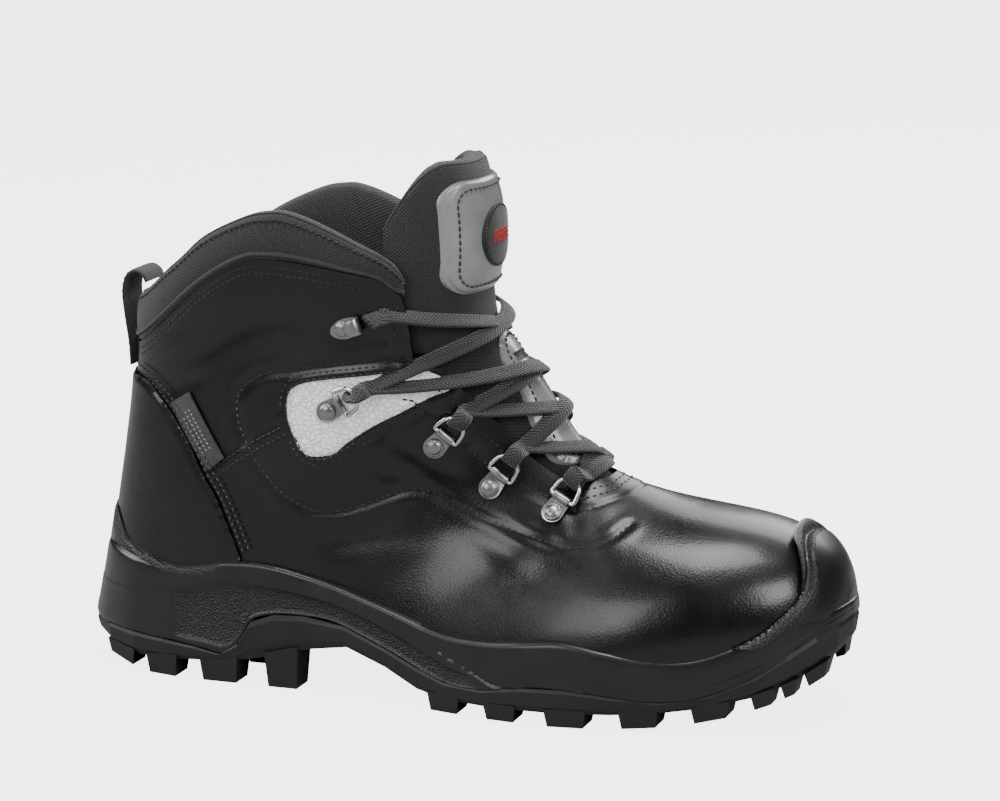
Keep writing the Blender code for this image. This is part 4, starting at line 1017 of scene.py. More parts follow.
@dataclass(frozen=True)
class StitchSize:
    """The size of one stitch and how far apart they start."""

    pitch: float = 2.7
    length: float = 2.05
    radius: float = 0.38
    sunk: float = -0.1


# Along a stitch: share of its length, share of its radius, how far it dips
STITCH_RINGS = ((0.0, 0.45, 1.0), (0.14, 0.85, 0.45), (0.5, 1.0, 0.0), (0.86, 0.85, 0.45), (1.0, 0.45, 1.0))


class StitchRows:
    """All rows of one thread, gathered into one piece."""

    def __init__(self, size: StitchSize = StitchSize()) -> None:
        self.size = size
        self.draft = Draft()
        self.count = 0

    def sew(self, points: np.ndarray, normals: np.ndarray, aside: float = 0.0, lift: float = 0.0) -> None:
        """Sew along a line laid on a surface.

        Args:
            points: the line.
            normals: the outward directions along it.
            aside: how far the row lies to one side of the line.
            lift: how far the row lies above the surface.
        """
        beside = np.cross(unit(np.gradient(points, axis=0)), normals)
        row = points + beside * aside + normals * lift
        travelled = distances_along(row)
        for start in np.arange(self.size.pitch / 2, travelled[-1] - self.size.length, self.size.pitch):
            ends = [
                Vector([np.interp(at, travelled, column) for column in row.T])
                for at in (start, start + self.size.length)
            ]
            middle = int(np.searchsorted(travelled, start + self.size.length / 2))
            self._stitch(ends[0], ends[1], Vector(normals[min(middle, len(normals) - 1)]))

    def _stitch(self, start: Vector, end: Vector, out: Vector) -> None:
        """One stitch: a short round thread whose ends dip into the leather."""
        direction = (end - start).normalized()
        beside = direction.cross(out).normalized()
        up = beside.cross(direction)
        rings = []
        for share, girth, dip in STITCH_RINGS:
            centre = start.lerp(end, share) - up * (self.size.sunk + dip * self.size.radius * 1.3)
            ring = []
            for step in range(6):
                turn = math.radians(60 * step)
                spoke = beside * math.cos(turn) + up * math.sin(turn)
                ring.append(centre + spoke * self.size.radius * girth)
            rings.append(ring)
        self.draft.tube(np.array(rings))
        self.count += 1

    def build(self, name: str) -> bpy.types.Object:
        """The rows as one object."""
        LOG.info("%s: %d stitches", name, self.count)
        return self.draft.build(name)


@dataclass(frozen=True)
class Crease:
    """A soft trough in the leather, seen from the side: its middle, slope, length, width and depth."""

    x: float
    z: float
    slope: float
    length: float
    width: float
    depth: float


CREASES = (
    Crease(207.0, 79.0, -62.0, 17.0, 3.8, 0.4),
    Crease(217.0, 74.0, -58.0, 15.0, 3.6, 0.3),
    Crease(197.0, 72.0, -48.0, 16.0, 3.8, 0.35),
    Crease(186.0, 60.0, -25.0, 22.0, 4.5, 0.6),
    Crease(150.0, 95.0, -36.0, 20.0, 3.8, 0.65),
    Crease(137.0, 89.0, -20.0, 18.0, 3.5, 0.55),
    Crease(122.0, 62.0, 8.0, 26.0, 5.0, 0.6),
    Crease(60.0, 132.0, 32.0, 22.0, 4.4, 0.6),
    Crease(84.0, 146.0, 14.0, 24.0, 5.0, 0.55),
    Crease(50.0, 118.0, 28.0, 14.0, 3.6, 0.5),
    Crease(112.0, 146.0, -6.0, 22.0, 4.6, 0.5),
)
# The ridge beside a crease, in widths of it and in its depth, and how deep the inner side's creases are
RIDGE_ASIDE = 1.7
RIDGE_SHARE = 0.45
INNER_CREASES = 0.75


@dataclass(frozen=True)
class SeamLine:
    """A sewn line on the upper: its side-view line, stitch rows beside it, and how it shapes the leather."""

    line: tuple
    rows: tuple
    groove: float = 0.0
    bead: float = 0.0
    bead_offset: float = 0.0


SIDE_SEAMS = (
    SeamLine(WAVY_SEAM, (0.0,), groove=0.55),
    SeamLine(COUNTER_SEAM, (1.6, -1.6), bead=0.55),
    SeamLine(PANEL_TOP_SEAM, (0.0, -2.6), groove=0.25),
    SeamLine(PANEL_LOW_SEAM, (0.0, 2.6), groove=0.25),
)
LEATHER_WALL = 2.2
POCKET_DEPTH = 1.2
EDGE_ROUNDING = 1.4


class Skins:
    """Makes dense leather and moulded walls on the last."""

    def __init__(self, last: Last, finishes: Finishes) -> None:
        self.last = last
        self.finishes = finishes

    def wall(
        self,
        name: str,
        outside: float,
        inside: float,
        heights: Optional[np.ndarray] = None,
        rows: Optional[tuple] = None,
    ) -> bpy.types.Object:
        """A closed wall between two distances from the last.

        Args:
            name: the piece's name.
            outside: the outer face's distance from the last, outwards.
            inside: the inner face's distance.
            heights: what to add to the outer face at each grid point.
            rows: the first and last row of the wall, or None for the whole last.
        Returns:
            The wall, with its outside, inside and edges as materials 0, 1 and 2.
        """
        last = self.last
        keep = slice(None)
        if rows is not None:
            keep = slice(int(np.searchsorted(last.rows, rows[0])), int(np.searchsorted(last.rows, rows[1])))
        points, normals = last.points[keep], last.normals[keep]
        lift = np.full(points.shape[:2], outside)
        if heights is not None:
            lift = lift + heights[keep]
        outer = points + normals * lift[..., None]
        inner = points + normals * inside
        thin = np.unique(np.append(np.arange(0, len(inner), 3), len(inner) - 1))
        draft = Draft()
        plan = self._plan(points)
        draft.grid(outer, plan, closed=True, material=0)
        draft.grid(inner[thin], plan[thin], closed=True, material=1)
        draft.grid(np.array([inner[0], outer[0]]), closed=True, material=2)
        if rows is None:
            for line, grown in ((outer[-1], outside), (inner[-1], inside)):
                draft.fan(line, toe_tip(grown))
        else:
            draft.grid(np.array([outer[-1], inner[-1]]), closed=True, material=2)
        return draft.build(name)

    @staticmethod
    def _plan(points: np.ndarray) -> np.ndarray:
        """Distances round and along the last at each grid point, in millimetres."""
        around = np.linalg.norm(points - np.roll(points, 1, axis=1), axis=2)
        along = np.linalg.norm(np.diff(points, axis=0, prepend=points[:1]), axis=2)
        return np.stack([np.cumsum(around, axis=1), np.cumsum(along, axis=0)], axis=2)

    def edge_heights(self, outline: Sequence, drop: float, closed: bool = True) -> np.ndarray:
        """How far a wall's outer face falls towards its outline, so that its edge is round."""
        line = tuple(outline) + (tuple(outline[:1]) if closed else ())
        shape = self.last.points.shape
        distance = side_distance(self.last.points.reshape(-1, 3), self.last.normals.reshape(-1, 3), line)
        return -drop * (1.0 - soft_step(0.0, EDGE_ROUNDING, distance.reshape(shape[:2])))

    def solid(self, name: str, grow: float) -> bpy.types.Object:
        """The last grown outwards, closed at the shaft's top and the toe."""
        points = self.last.points + self.last.normals * grow
        draft = Draft()
        kept = points[::3]
        draft.grid(kept, closed=True)
        draft.fan(kept[0], kept[0].mean(axis=0))
        draft.fan(kept[-1], toe_tip(grow))
        return draft.build(name)

    def near(self, line: np.ndarray) -> np.ndarray:
        """The distance of each grid point of the last from a line."""
        shape = self.last.points.shape[:2]
        return near_line(self.last.points.reshape(-1, 3), line).reshape(shape)

    @staticmethod
    def smoothed(piece: bpy.types.Object) -> bpy.types.Object:
        """The cut piece, smooth but for its sharp edges."""
        piece.data.shade_smooth()
        piece.data.set_sharp_from_angle(angle=math.radians(40))
        return piece


class Work:
    """What each part of the boot is made with: the skins on the last, and the sewing thread."""

    def __init__(self, skins: Skins, threads: StitchRows) -> None:
        self.skins, self.threads = skins, threads
        self.last, self.finishes = skins.last, skins.finishes


class Upper(Work):
    """The leather upper with its seams, creases, counter and light panels."""

    def __init__(self, skins: Skins, threads: StitchRows) -> None:
        super().__init__(skins, threads)
        self.heights = self._heights()
        self.surface = self._surface()

    def _heights(self) -> np.ndarray:
        """How far the leather stands off the last everywhere."""
        points = self.last.points
        shape = points.shape[:2]
        x, y, z = points[..., 0], points[..., 1], points[..., 2]
        heights = np.zeros(shape)
        for side in (OUTER, INNER):
            here = (y * side > 0).astype(float)
            for seam in SIDE_SEAMS:
                line, _ = self.last.side_path(seam.line, side)
                distance = self.skins.near(line)
                heights -= seam.groove * hump(distance, 0.0, 1.5) * here
                heights += 0.4 * seam.groove * hump(distance, 4.0, 2.2) * here
                heights += seam.bead * hump(distance, 0.0, 1.6) * here
            rim, _ = self.last.side_path(PANEL_OUTLINE + PANEL_OUTLINE[:1], side)
            heights += 0.7 * hump(self.skins.near(rim), 1.8, 1.6) * here
            for crease in CREASES:
                slope = math.radians(crease.slope)
                along = (x - crease.x) * math.cos(slope) + (z - crease.z) * math.sin(slope)
                across = -(x - crease.x) * math.sin(slope) + (z - crease.z) * math.cos(slope)
                share = INNER_CREASES if side == INNER else 1.0
                reach = (along / crease.length) ** 2
                trough = np.exp(-reach - (across / crease.width) ** 2)
                ridge = np.exp(-reach - ((across - RIDGE_ASIDE * crease.width) / crease.width) ** 2)
                heights += here * share * crease.depth * (RIDGE_SHARE * ridge - trough)
        throat = self.last.instep_path(tuple(throat_outline(1.0))[3:-3])[0]
        distance = self.skins.near(throat)
        heights += 0.35 * (1.0 - soft_step(9.0, 11.0, distance))
        heights -= 0.3 * hump(distance, 10.5, 1.0)
        swell = np.sin(x / 13.0 + 1.3 * np.sin(z / 17.0)) * np.sin(z / 11.0 + y / 19.0 + 0.6)
        heights += 0.16 * swell * soft_step(45.0, 60.0, z)
        return heights

    def _surface(self) -> Last:
        """The last with the leather's heights on it, to lay stitches on."""
        surface = Last.__new__(Last)
        surface.rows = self.last.rows
        surface.half_steps = self.last.half_steps
        surface.normals = self.last.normals
        surface.points = self.last.points + self.last.normals * self.heights[..., None]
        surface.tree = surface.search()
        return surface

    def build(self) -> None:
        """Every leather piece of the upper, the panels, the label and the stitches."""
        self.build_wall()
        self.build_counter()
        for side in (OUTER, INNER):
            self.build_panel(side)
        self.build_label()
        self.sew()

    def build_wall(self) -> bpy.types.Object:
        """The upper's one wall, cut open at the collar, the throat and underneath."""
        materials = (self.finishes.leather, self.finishes.lining, self.finishes.edge)
        wall = self.skins.wall("upper_leather", 0.0, -LEATHER_WALL, self.heights)
        rim = rounded(LEATHER_TOP) + list(QUARTER_FRONT) + [(320.0, 131.0)]
        for tool in (below(FOOT_BED, 0.3), above(rim)):
            combine(wall, tool, "DIFFERENCE")
        combine(wall, instep_prism("throat", throat_outline()), "DIFFERENCE")
        for side in (OUTER, INNER):
            cutter = side_prism("pocket", rounded(PANEL_OUTLINE, closed=True), side)
            pocket = self.skins.wall("pocket", 3.0, -POCKET_DEPTH, rows=PANEL_ROWS)
            combine(pocket, cutter, "INTERSECT")
            combine(wall, pocket, "DIFFERENCE")
        return register(self.skins.smoothed(wall), materials, "leather", "upper")

    def sew(self) -> None:
        """Every stitch row of the upper."""
        for side in (OUTER, INNER):
            for seam in SIDE_SEAMS:
                points, normals = self.surface.side_path(seam.line, side)
                for row in seam.rows:
                    self.threads.sew(points, normals, row * side)
            top = tuple((x, z) for x, z in LEATHER_TOP if 20.0 < x < 140.0)
            for drop in (3.0, 5.6):
                self.threads.sew(*self.surface.side_path(tuple((x, z - drop) for x, z in top), side))
            front = ((141.5, 157.0), (142.3, 150.0), (143.5, 139.0))
            for back in (0.0, 2.6):
                self.threads.sew(*self.surface.side_path(tuple((x - back, z) for x, z in front), side))
        for margin in (2.6, 5.2):
            outline = [(down, half) for down, half in throat_outline(margin) if down > 8.0]
            self.threads.sew(*self.surface.instep_path(outline))

    def build_counter(self) -> bpy.types.Object:
        """The counter round the heel, with a rolled edge and two stitch rows."""
        materials = (self.finishes.leather, self.finishes.leather, self.finishes.edge)
        heights = self.skins.edge_heights(COUNTER_TOP, 0.8, closed=False)
        wall = self.skins.wall("counter_leather", 1.75, 0.25, heights, rows=COUNTER_ROWS)
        foot = tuple((x, z - 1.5) for x, z in HEEL_EDGE if x < 76.0) + ((76.6, 49.0),)
        combine(wall, side_prism("outline", rounded(COUNTER_TOP) + list(foot[::-1])), "INTERSECT")
        for side in (OUTER, INNER):
            edge = tuple((x, z) for x, z in COUNTER_TOP if x > 20.0)
            points, normals = self.last.side_path(edge, side)
            for aside in (2.4, 5.0):
                self.threads.sew(points, normals, aside * side, 1.7)
        return register(self.skins.smoothed(wall), materials, "leather", "heel_counter")

    def build_panel(self, side: int) -> bpy.types.Object:
        """One light panel, let into the quarter and a little crowned."""
        name = "side_panel_outer" if side == OUTER else "side_panel_inner"
        heights = self.skins.edge_heights(PANEL_OUTLINE, 0.7)
        wall = self.skins.wall(name + "_cloth", 0.15, -1.0, heights, rows=PANEL_ROWS)
        combine(wall, side_prism("outline", rounded(PANEL_OUTLINE, closed=True), side), "INTERSECT")
        combine(wall, instep_prism("throat", throat_outline(PANEL_GAP)), "DIFFERENCE")
        return register(self.skins.smoothed(wall), self.finishes.panel, "light_panel", name)

    def build_label(self) -> bpy.types.Object:
        """The woven tab at the front edge of the counter, with plain woven dashes."""
        heights = self.skins.edge_heights(LABEL_OUTLINE, 0.5)
        wall = self.skins.wall("label_cloth", 1.6, 0.4, heights, rows=LABEL_ROWS)
        combine(wall, side_prism("outline", LABEL_OUTLINE, OUTER), "INTERSECT")
        pale = StitchRows(StitchSize(1.9, 1.2, 0.22, 0.05))
        low, high = Vector((66.3, 0.0, 88.5)), Vector((49.1, 0.0, 113.1))
        wide = Vector((3.0, 0.0, 2.0))
        for share in (-0.55, 0.0, 0.55):
            line = [low.lerp(high, step / 4) + wide * share for step in range(5)]
            points, normals = self.last.side_path(tuple((point.x, point.z) for point in line), OUTER)
            pale.sew(points[6:-6], normals[6:-6], 0.0, 1.62)
        register(pale.build("label_dashes"), self.finishes.pale_thread, "label")
        return register(self.skins.smoothed(wall), self.finishes.label, "label", "label_tab")


class Collar(Work):
    """The padded cloth collar, swept round the shaft from the outer front edge to the inner one."""

    FRONT_X = 144.5
    STEPS = 150
    FOOT_STEP, SEAM_STEP, RIM_STEP = 12, 24, 30
    # Along the profile: share of the height from leather to rim, extra height, distance out of the last
    Profile = namedtuple("Profile", "share drop out")
    PROFILE = (
        Profile(0.0, -6.0, -2.5),
        Profile(0.0, -1.0, -1.9),
        Profile(0.0, 0.2, -0.5),
        Profile(0.12, 0.0, 0.25),
        Profile(0.35, 0.0, 0.9),
        Profile(0.6, 0.0, 0.9),
        Profile(0.82, 0.0, 0.35),
        Profile(0.93, 0.0, -0.7),
        Profile(1.0, -0.3, -2.3),
        Profile(1.0, 0.2, -4.0),
        Profile(1.0, -0.4, -5.8),
        Profile(0.9, 0.0, -7.5),
        Profile(0.7, 0.0, -8.6),
        Profile(0.35, 0.0, -9.1),
        Profile(0.0, 0.0, -8.7),
        Profile(0.0, -10.0, -7.8),
        Profile(0.0, -18.0, -6.4),
        Profile(0.0, -21.5, -4.2),
        Profile(0.0, -22.0, -2.6),
        Profile(0.0, -14.0, -2.5),
    )

    def _shaft(self, share: float, z: float) -> tuple[np.ndarray, np.ndarray]:
        """The last's point and outward direction at a share of the way round and a height."""
        half = self.last.half_steps
        around = self.last.points.shape[1]
        column = abs(share) * half
        low = int(min(column, half - 1))
        blend = column - low
        found = []
        for number in (low, low + 1):
            index = number if share < 0 else (around - number) % around
            line = self.last.points[:, index]
            top = line[: int(np.searchsorted(self.last.rows, 7.0))]
            normals = self.last.normals[: len(top), index]
            order = top[::-1, 2]
            spot = [np.interp(z, order, top[::-1, axis]) for axis in range(3)]
            out = [np.interp(z, order, normals[::-1, axis]) for axis in range(3)]
            found.append((np.array(spot), np.array(out)))
        point = found[0][0] * (1 - blend) + found[1][0] * blend
        out = found[0][1] * (1 - blend) + found[1][1] * blend
        return point, out / np.linalg.norm(out)

    def _front_share(self) -> float:
        """The share at which the collar's front edge lies."""
        return halved(0.05, 0.9, 30, lambda share: self._shaft(-share, 166.0)[0][0] > self.FRONT_X)[1]

    def build(self) -> bpy.types.Object:
        """The collar as one padded sweep."""
        front = self._front_share()
        shares = np.concatenate(
            [-np.linspace(front, 1.0, self.STEPS), np.linspace(1.0, front, self.STEPS)[1:]]
        )
        profile = traced(self.PROFILE, 76)
        leather_line, rim_line = rounded(LEATHER_TOP), rounded(COLLAR_TOP)
        rings, plans = [], []
        travelled = 0.0
        before = None
        for number, share in enumerate(shares):
            spot, _ = self._shaft(share, 160.0)
            leather, rim = line_at(leather_line, spot[0]), line_at(rim_line, spot[0])
            from_end = min(number, len(shares) - 1 - number)
            narrow = 1.0 - 0.55 * max(0.0, 1.0 - from_end / 5.0) ** 2
            travelled += 0.0 if before is None else np.linalg.norm(spot - before)
            before = spot
            soft = 0.25 * math.sin(travelled / 9.0) * math.sin(travelled / 23.0)
            ring, plan = [], []
            length = 0.0
            for share_up, drop, out in profile:
                z = leather + (rim - leather) * share_up + drop
                point, normal = self._shaft(share, z)
                depth = -4.3 + (out + 4.3) * narrow + soft * (1.0 if out > -1.0 else 0.4)
                place = point + normal * depth
                length += 0.0 if not ring else float(np.linalg.norm(place - ring[-1]))
                ring.append(place)
                plan.append((travelled, length))
            rings.append(ring)
            plans.append(plan)
        piece = Draft().tube(np.array(rings), np.array(plans)).build("collar_pad")
        register(piece, self.finishes.cordura, "woven_cloth", "collar")
        self._binding(rings)
        return piece

    def _binding(self, rings: list) -> None:
        """The narrow binding along the collar's foot and the seam along its rim."""
        foot = np.array([ring[self.FOOT_STEP] for ring in rings])
        rim = np.array([ring[self.RIM_STEP] for ring in rings])
        for name, line, radius in (("collar_foot_binding", foot, 0.85), ("collar_rim_piping", rim, 0.55)):
            sweep = Sweep(line, radius * 2, radius * 1.7)
            register(sweep.build(name), self.finishes.binding, "woven_cloth")
        out = unit(np.cross(np.gradient(rim, axis=0), np.array([0.0, 0.0, 1.0])))
        out *= np.sign(((rim - rim.mean(axis=0)) * out).sum(axis=1, keepdims=True))
        self.threads.sew(np.array([ring[self.SEAM_STEP] for ring in rings]), out, 0.0, 0.35)


class Sweep:
    """A flat or round band that follows a line, with a chosen width direction."""

    def __init__(
        self,
        line: np.ndarray,
        width: float,
        thickness: float,
        beside: Optional[np.ndarray] = None,
        corner: float = 0.5,
        sides: int = 12,
    ) -> None:
        self.line = np.array(line, float)
        self.width = width
        self.thickness = thickness
        self.beside = beside
        self.corner = corner
        self.sides = sides

    def rings(self) -> tuple[np.ndarray, np.ndarray]:
        """The band's rings and their plan coordinates: across from its middle, and along."""
        along = unit(np.gradient(self.line, axis=0))
        travelled = distances_along(self.line)
        rings, plans = [], []
        before = None
        for number, (point, forward) in enumerate(zip(self.line, along)):
            if self.beside is not None:
                beside = self.beside[number]
            else:
                beside = before if before is not None else np.cross(forward, np.array([0.0, 0.0, 1.0]))
            beside = beside - forward * beside.dot(forward)
            beside /= np.linalg.norm(beside)
            if before is not None and beside.dot(before) < 0:
                beside = -beside
            before = beside
            up = np.cross(beside, forward)
            ring, plan = [], []
            for step in range(self.sides):
                turn = 2 * math.pi * (step + 0.5) / self.sides
                across = math.copysign(abs(math.cos(turn)) ** self.corner, math.cos(turn)) * self.width / 2
                rise = math.copysign(abs(math.sin(turn)) ** 0.8, math.sin(turn)) * self.thickness / 2
                ring.append(point + beside * across + up * rise)
                plan.append((across, travelled[number]))
            rings.append(ring)
            plans.append(plan)
        return np.array(rings), np.array(plans)

    def build(self, name: str) -> bpy.types.Object:
        """The band as one object."""
        return Draft().tube(*self.rings()).build(name)


class Tongue(Work):
    """The padded tongue with its patch, badge and strip."""

    AXIS_X = 140.0

    def __init__(self, skins: Skins, threads: StitchRows) -> None:
        super().__init__(skins, threads)
        dense = traced(TONGUE_LEVELS, 80)
        self.levels = dense[np.argsort(dense[:, 0])]
        self.lowest = TONGUE_LEVELS[0].z

    def build(self) -> None:
        """Every piece of the tongue."""
        for make in (self.build_top, self.build_sheet, self.build_patch, self.build_badge, self.build_strip):
            make()

    def on_tube(self, turn: float, z: float, depth: float = 0.0) -> Vector:
        """A place on the half tube: degrees from its front, height, and depth under its face."""
        front, edge, half = [np.interp(z, self.levels[:, 0], self.levels[:, axis]) for axis in (1, 2, 3)]
        bend = 2 / TONGUE_ROUNDNESS
        turn = math.radians(turn)
        x = edge + (front - edge - depth) * abs(math.cos(turn)) ** bend
        y = (half - depth) * math.copysign(abs(math.sin(turn)) ** bend, turn)
        return Vector((x, y, z))

    def build_top(self) -> bpy.types.Object:
        """The half tube, thick and round at its rim."""
        rings, plans = [], []
        turns = np.linspace(-90.0, 90.0, 72)
        top_line = rounded(TONGUE_TOP)
        for turn in turns:
            top = line_at(top_line, self.on_tube(turn, 190.0).x)
            thick = TONGUE_PAD * (0.45 + 0.55 * soft_step(0.0, 16.0, 90.0 - abs(turn)))
            ring, plan = [], []
            length = 0.0
            waist = 0.5 * (self.lowest + top)
            profile = [(self.lowest, 0.0), (waist, -0.7), (top - 5.0, -0.3)]
            for step in range(1, 8):
                swing = math.pi * step / 8
                profile.append((top - 3.6 + 3.6 * math.sin(swing), thick * (1 - math.cos(swing)) / 2))
            profile += [(top - 5.0, thick + 0.3), (waist, thick + 0.8), (self.lowest, thick)]
            for z, depth in traced(profile, 60):
                soft = 0.3 * math.sin(z / 6.0 + turn / 25.0) * math.sin(z / 15.0)
                place = self.on_tube(turn, float(z), float(depth) + (soft if depth < 2.0 else 0.0))
                length += 0.0 if not ring else (place - ring[-1]).length
                ring.append(place)
                plan.append((turn * 0.55, length))
            rings.append(ring)
            plans.append(plan)
        piece = Draft().tube(np.array(rings), np.array(plans)).build("tongue_pad")
        register(piece, self.finishes.cordura, "woven_cloth", "tongue")
        rim = np.array([ring[20] for ring in rings])
        register(Sweep(rim, 1.5, 1.2).build("tongue_piping"), self.finishes.binding, "woven_cloth")
        return piece

    def build_sheet(self) -> bpy.types.Object:
        """The tongue's lower sheet, under the laces, a little padded between its edges."""
        rows, plans = [], []
        downs = np.linspace(-3.0, 86.0, 60)
        for face_depth in (2.7, 6.2):
            face, plan = [], []
            for down in downs:
                half = line_at(THROAT_EDGE, down) + 6.0
                half -= 6.0 * (1.0 - soft_step(-3.0, 22.0, down))
                line = []
                tuck = 5.0 * (1.0 - soft_step(-3.0, 16.0, down))
                for share in np.linspace(-1.0, 1.0, 46):
                    point, normal = self.last.from_instep(down, share * half)
                    crown = (0.9 * (1.0 - share * share) if face_depth < 3 else 0.0) - tuck
                    rib = 0.35 * math.sin(down / 3.1) * (1.0 - share**4)
                    line.append(point - normal * (face_depth - crown + rib))
                face.append(line)
                plan.append([(share * half, down) for share in np.linspace(-1.0, 1.0, 46)])
            rows.append(np.array(face))
            plans.append(np.array(plan))
        rings = np.concatenate([rows[0], rows[1][:, ::-1]], axis=1)
        plan = np.concatenate([plans[0], plans[1][:, ::-1]], axis=1)
        sheet = Draft().tube(rings, plan).build("tongue_sheet")
        return register(sheet, self.finishes.cordura, "woven_cloth", "tongue")

    def _band(self, name: str, outside: float, inside: float, drop: Callable[[float, float], float]):
        """A dense closed band round the tube's front, whose face is lowered by drop(y, z)."""
        turns = np.linspace(-78.0, 78.0, 150)
        levels = np.linspace(154.0, 206.0, 130)
        faces = []
        for depth, falls in ((-outside, True), (-inside, False)):
            face = []
            for z in levels:
                line = []
                for turn in turns:
                    place = self.on_tube(turn, float(z), depth)
                    if falls:
                        place = self.on_tube(turn, float(z), depth + drop(place.y, float(z)))
                    line.append(place)
                face.append(line)
            faces.append(np.array(face))
        return Draft().tube(np.concatenate([faces[0], faces[1][:, ::-1]], axis=1)).build(name)

    def build_patch(self) -> bpy.types.Object:
        """The leather patch sewn on the front of the tongue, crowned a little over the padding."""
        width, height, radius, centre = 50.0, 44.0, 9.0, 180.5

        def drop(y: float, z: float) -> float:
            inset = rounded_inset(y, z - centre, width, height, radius)
            crown = 0.35 * soft_step(3.5, 12.0, inset)
            return 0.9 * (1.0 - soft_step(0.0, 1.4, inset)) - crown

        patch = self._band("patch_leather", 2.4, 0.6, drop)
        combine(patch, front_prism(rounded_outline(width, height, radius), centre), "INTERSECT")
        border = rounded_outline(width - 6.0, height - 6.0, radius - 2.5)
        line = [self._face_point(y, z + centre, -2.85) for y, z in dense_outline(border)]
        self._sew(line)
        return register(self.skins.smoothed(patch), self.finishes.patch, "leather_patch", "tongue_patch")

    def _face_point(self, y: float, z: float, depth: float) -> Vector:
        """The place on the tube's face at this y and height."""
        low, high = halved(-85.0, 85.0, 24, lambda turn: self.on_tube(turn, z, depth).y < y)
        return self.on_tube((low + high) / 2, z, depth)

    def _sew(self, line: list, rows: Optional[StitchRows] = None) -> None:
        """Sew along points on the tongue's face."""
        dense = evenly(np.array(line), max(len(line) * 4, 30))
        out = np.array([Vector((1.0, 0.02 * point[1], 0.08)).normalized() for point in dense])
        radial = dense - np.array([self.AXIS_X, 0.0, 0.0])
        radial[:, 2] = 0.0
        (rows or self.threads).sew(dense, unit(out * 0.3 + unit(radial)))

    def build_badge(self) -> bpy.types.Object:
        """A plain oval badge with an oversewn rim and one plain bar, filled with rows of thread."""
        width, height, centre = 27.0, 25.0, 180.0

        def drop(y: float, z: float) -> float:
            reach = math.hypot(2 * y / width, 2 * (z - centre) / height)
            return 0.5 * soft_step(0.88, 1.0, reach)

        badge = self._band("badge_cloth", 3.9, 2.5, drop)
        combine(badge, front_prism(oval_outline(width, height, 48), centre), "INTERSECT")
        rim = StitchRows(StitchSize(1.15, 1.0, 0.42, 0.05))
        ring = oval_outline(width - 1.6, height - 1.6, 60)
        self._sew([self._face_point(y, z + centre, -3.9) for y, z in ring + ring[:1]], rim)
        register(rim.build("badge_rim"), self.finishes.thread, "label")
        bars = StitchRows(StitchSize(0.95, 0.85, 0.4, 0.02))
        for rise in np.arange(-2.2, 2.3, 0.72):
            self._sew([self._face_point(y, centre + rise, -3.95) for y in np.linspace(-8.0, 8.0, 9)], bars)
        register(bars.build("badge_bar"), self.finishes.badge_thread, "label")
        return register(self.skins.smoothed(badge), self.finishes.label, "label", "tongue_badge")

    def build_strip(self) -> bpy.types.Object:
        """The glossy leather strip under the laces, with its slot."""
        start, end = STRIP_SPAN
        middle = (start + end) / 2
        outline = rounded_outline(end - start, 2 * STRIP_HALF_WIDTH, 10.5)
        rim = [self.last.from_instep(middle + down, across)[0] for down, across in dense_outline(outline)]
        distance = self.skins.near(np.array(rim))
        heights = -0.8 * (1.0 - soft_step(0.0, 1.5, distance)) + 0.35 * soft_step(1.5, 8.0, distance)
        wall = self.skins.wall("strip_leather", -0.7, -2.2, heights, rows=STRIP_ROWS)
        combine(wall, instep_prism("outline", outline, THROAT_REFERENCE + THROAT_DOWN * middle), "INTERSECT")
        near, far, half = STRIP_SLOT
        slot = [(near, -half), (far, -half), (far, half), (near, half)]
        combine(wall, instep_prism("slot", slot), "DIFFERENCE")
        border = rounded_outline(end - start - 5.0, 2 * STRIP_HALF_WIDTH - 5.0, 8.5)
        hits = [self.last.from_instep(middle + down, across) for down, across in dense_outline(border)]
        self.threads.sew(*(np.array(values) for values in zip(*hits)), 0.0, -0.45)
        return register(self.skins.smoothed(wall), self.finishes.patch, "leather_patch", "tongue_strip")


def rounded_outline(width: float, height: float, radius: float) -> list:
    """A rectangle about the origin with round corners."""
    outline, corner_steps = [], 10
    for quarter in range(4):
        side_x = 1 if quarter in (0, 3) else -1
        side_y = 1 if quarter in (0, 1) else -1
        for step in range(corner_steps + 1):
            turn = math.radians(90.0 * (quarter + step / corner_steps))
            x = side_x * (width / 2 - radius) + radius * math.cos(turn)
            outline.append((x, side_y * (height / 2 - radius) + radius * math.sin(turn)))
    return outline


def rounded_inset(x: float, y: float, width: float, height: float, radius: float) -> float:
    """How far inside a rounded rectangle a place lies."""
    over_x = abs(x) - (width / 2 - radius)
    over_y = abs(y) - (height / 2 - radius)
    if over_x > 0 and over_y > 0:
        return radius - math.hypot(over_x, over_y)
    return radius - max(over_x, over_y)


def oval_outline(width: float, height: float, steps: int) -> list:
    """An oval about the origin."""
    turns = [2 * math.pi * step / steps for step in range(steps)]
    return [(width / 2 * math.cos(turn), height / 2 * math.sin(turn)) for turn in turns]


def dense_outline(outline: Sequence) -> np.ndarray:
    """A closed outline as points less than a millimetre apart."""
    closed = np.array(list(outline) + [outline[0]], float)
    return evenly(closed, int(distances_along(closed)[-1] / PATH_STEP))


def start_primitive() -> None:
    """Leave nothing selected, so that the next primitive is the only thing worked on."""
    if bpy.context.object is not None and bpy.context.object.mode != "OBJECT":
        bpy.ops.object.mode_set(mode="OBJECT")
    bpy.ops.object.select_all(action="DESELECT")


def apply_modifier(kind: str, **settings) -> None:
    """Put a modifier on the active object and apply it."""
    modifier = bpy.context.object.modifiers.new("step", kind)
    for name, value in settings.items():
        setattr(modifier, name, value)
    bpy.ops.object.modifier_apply(modifier=modifier.name)


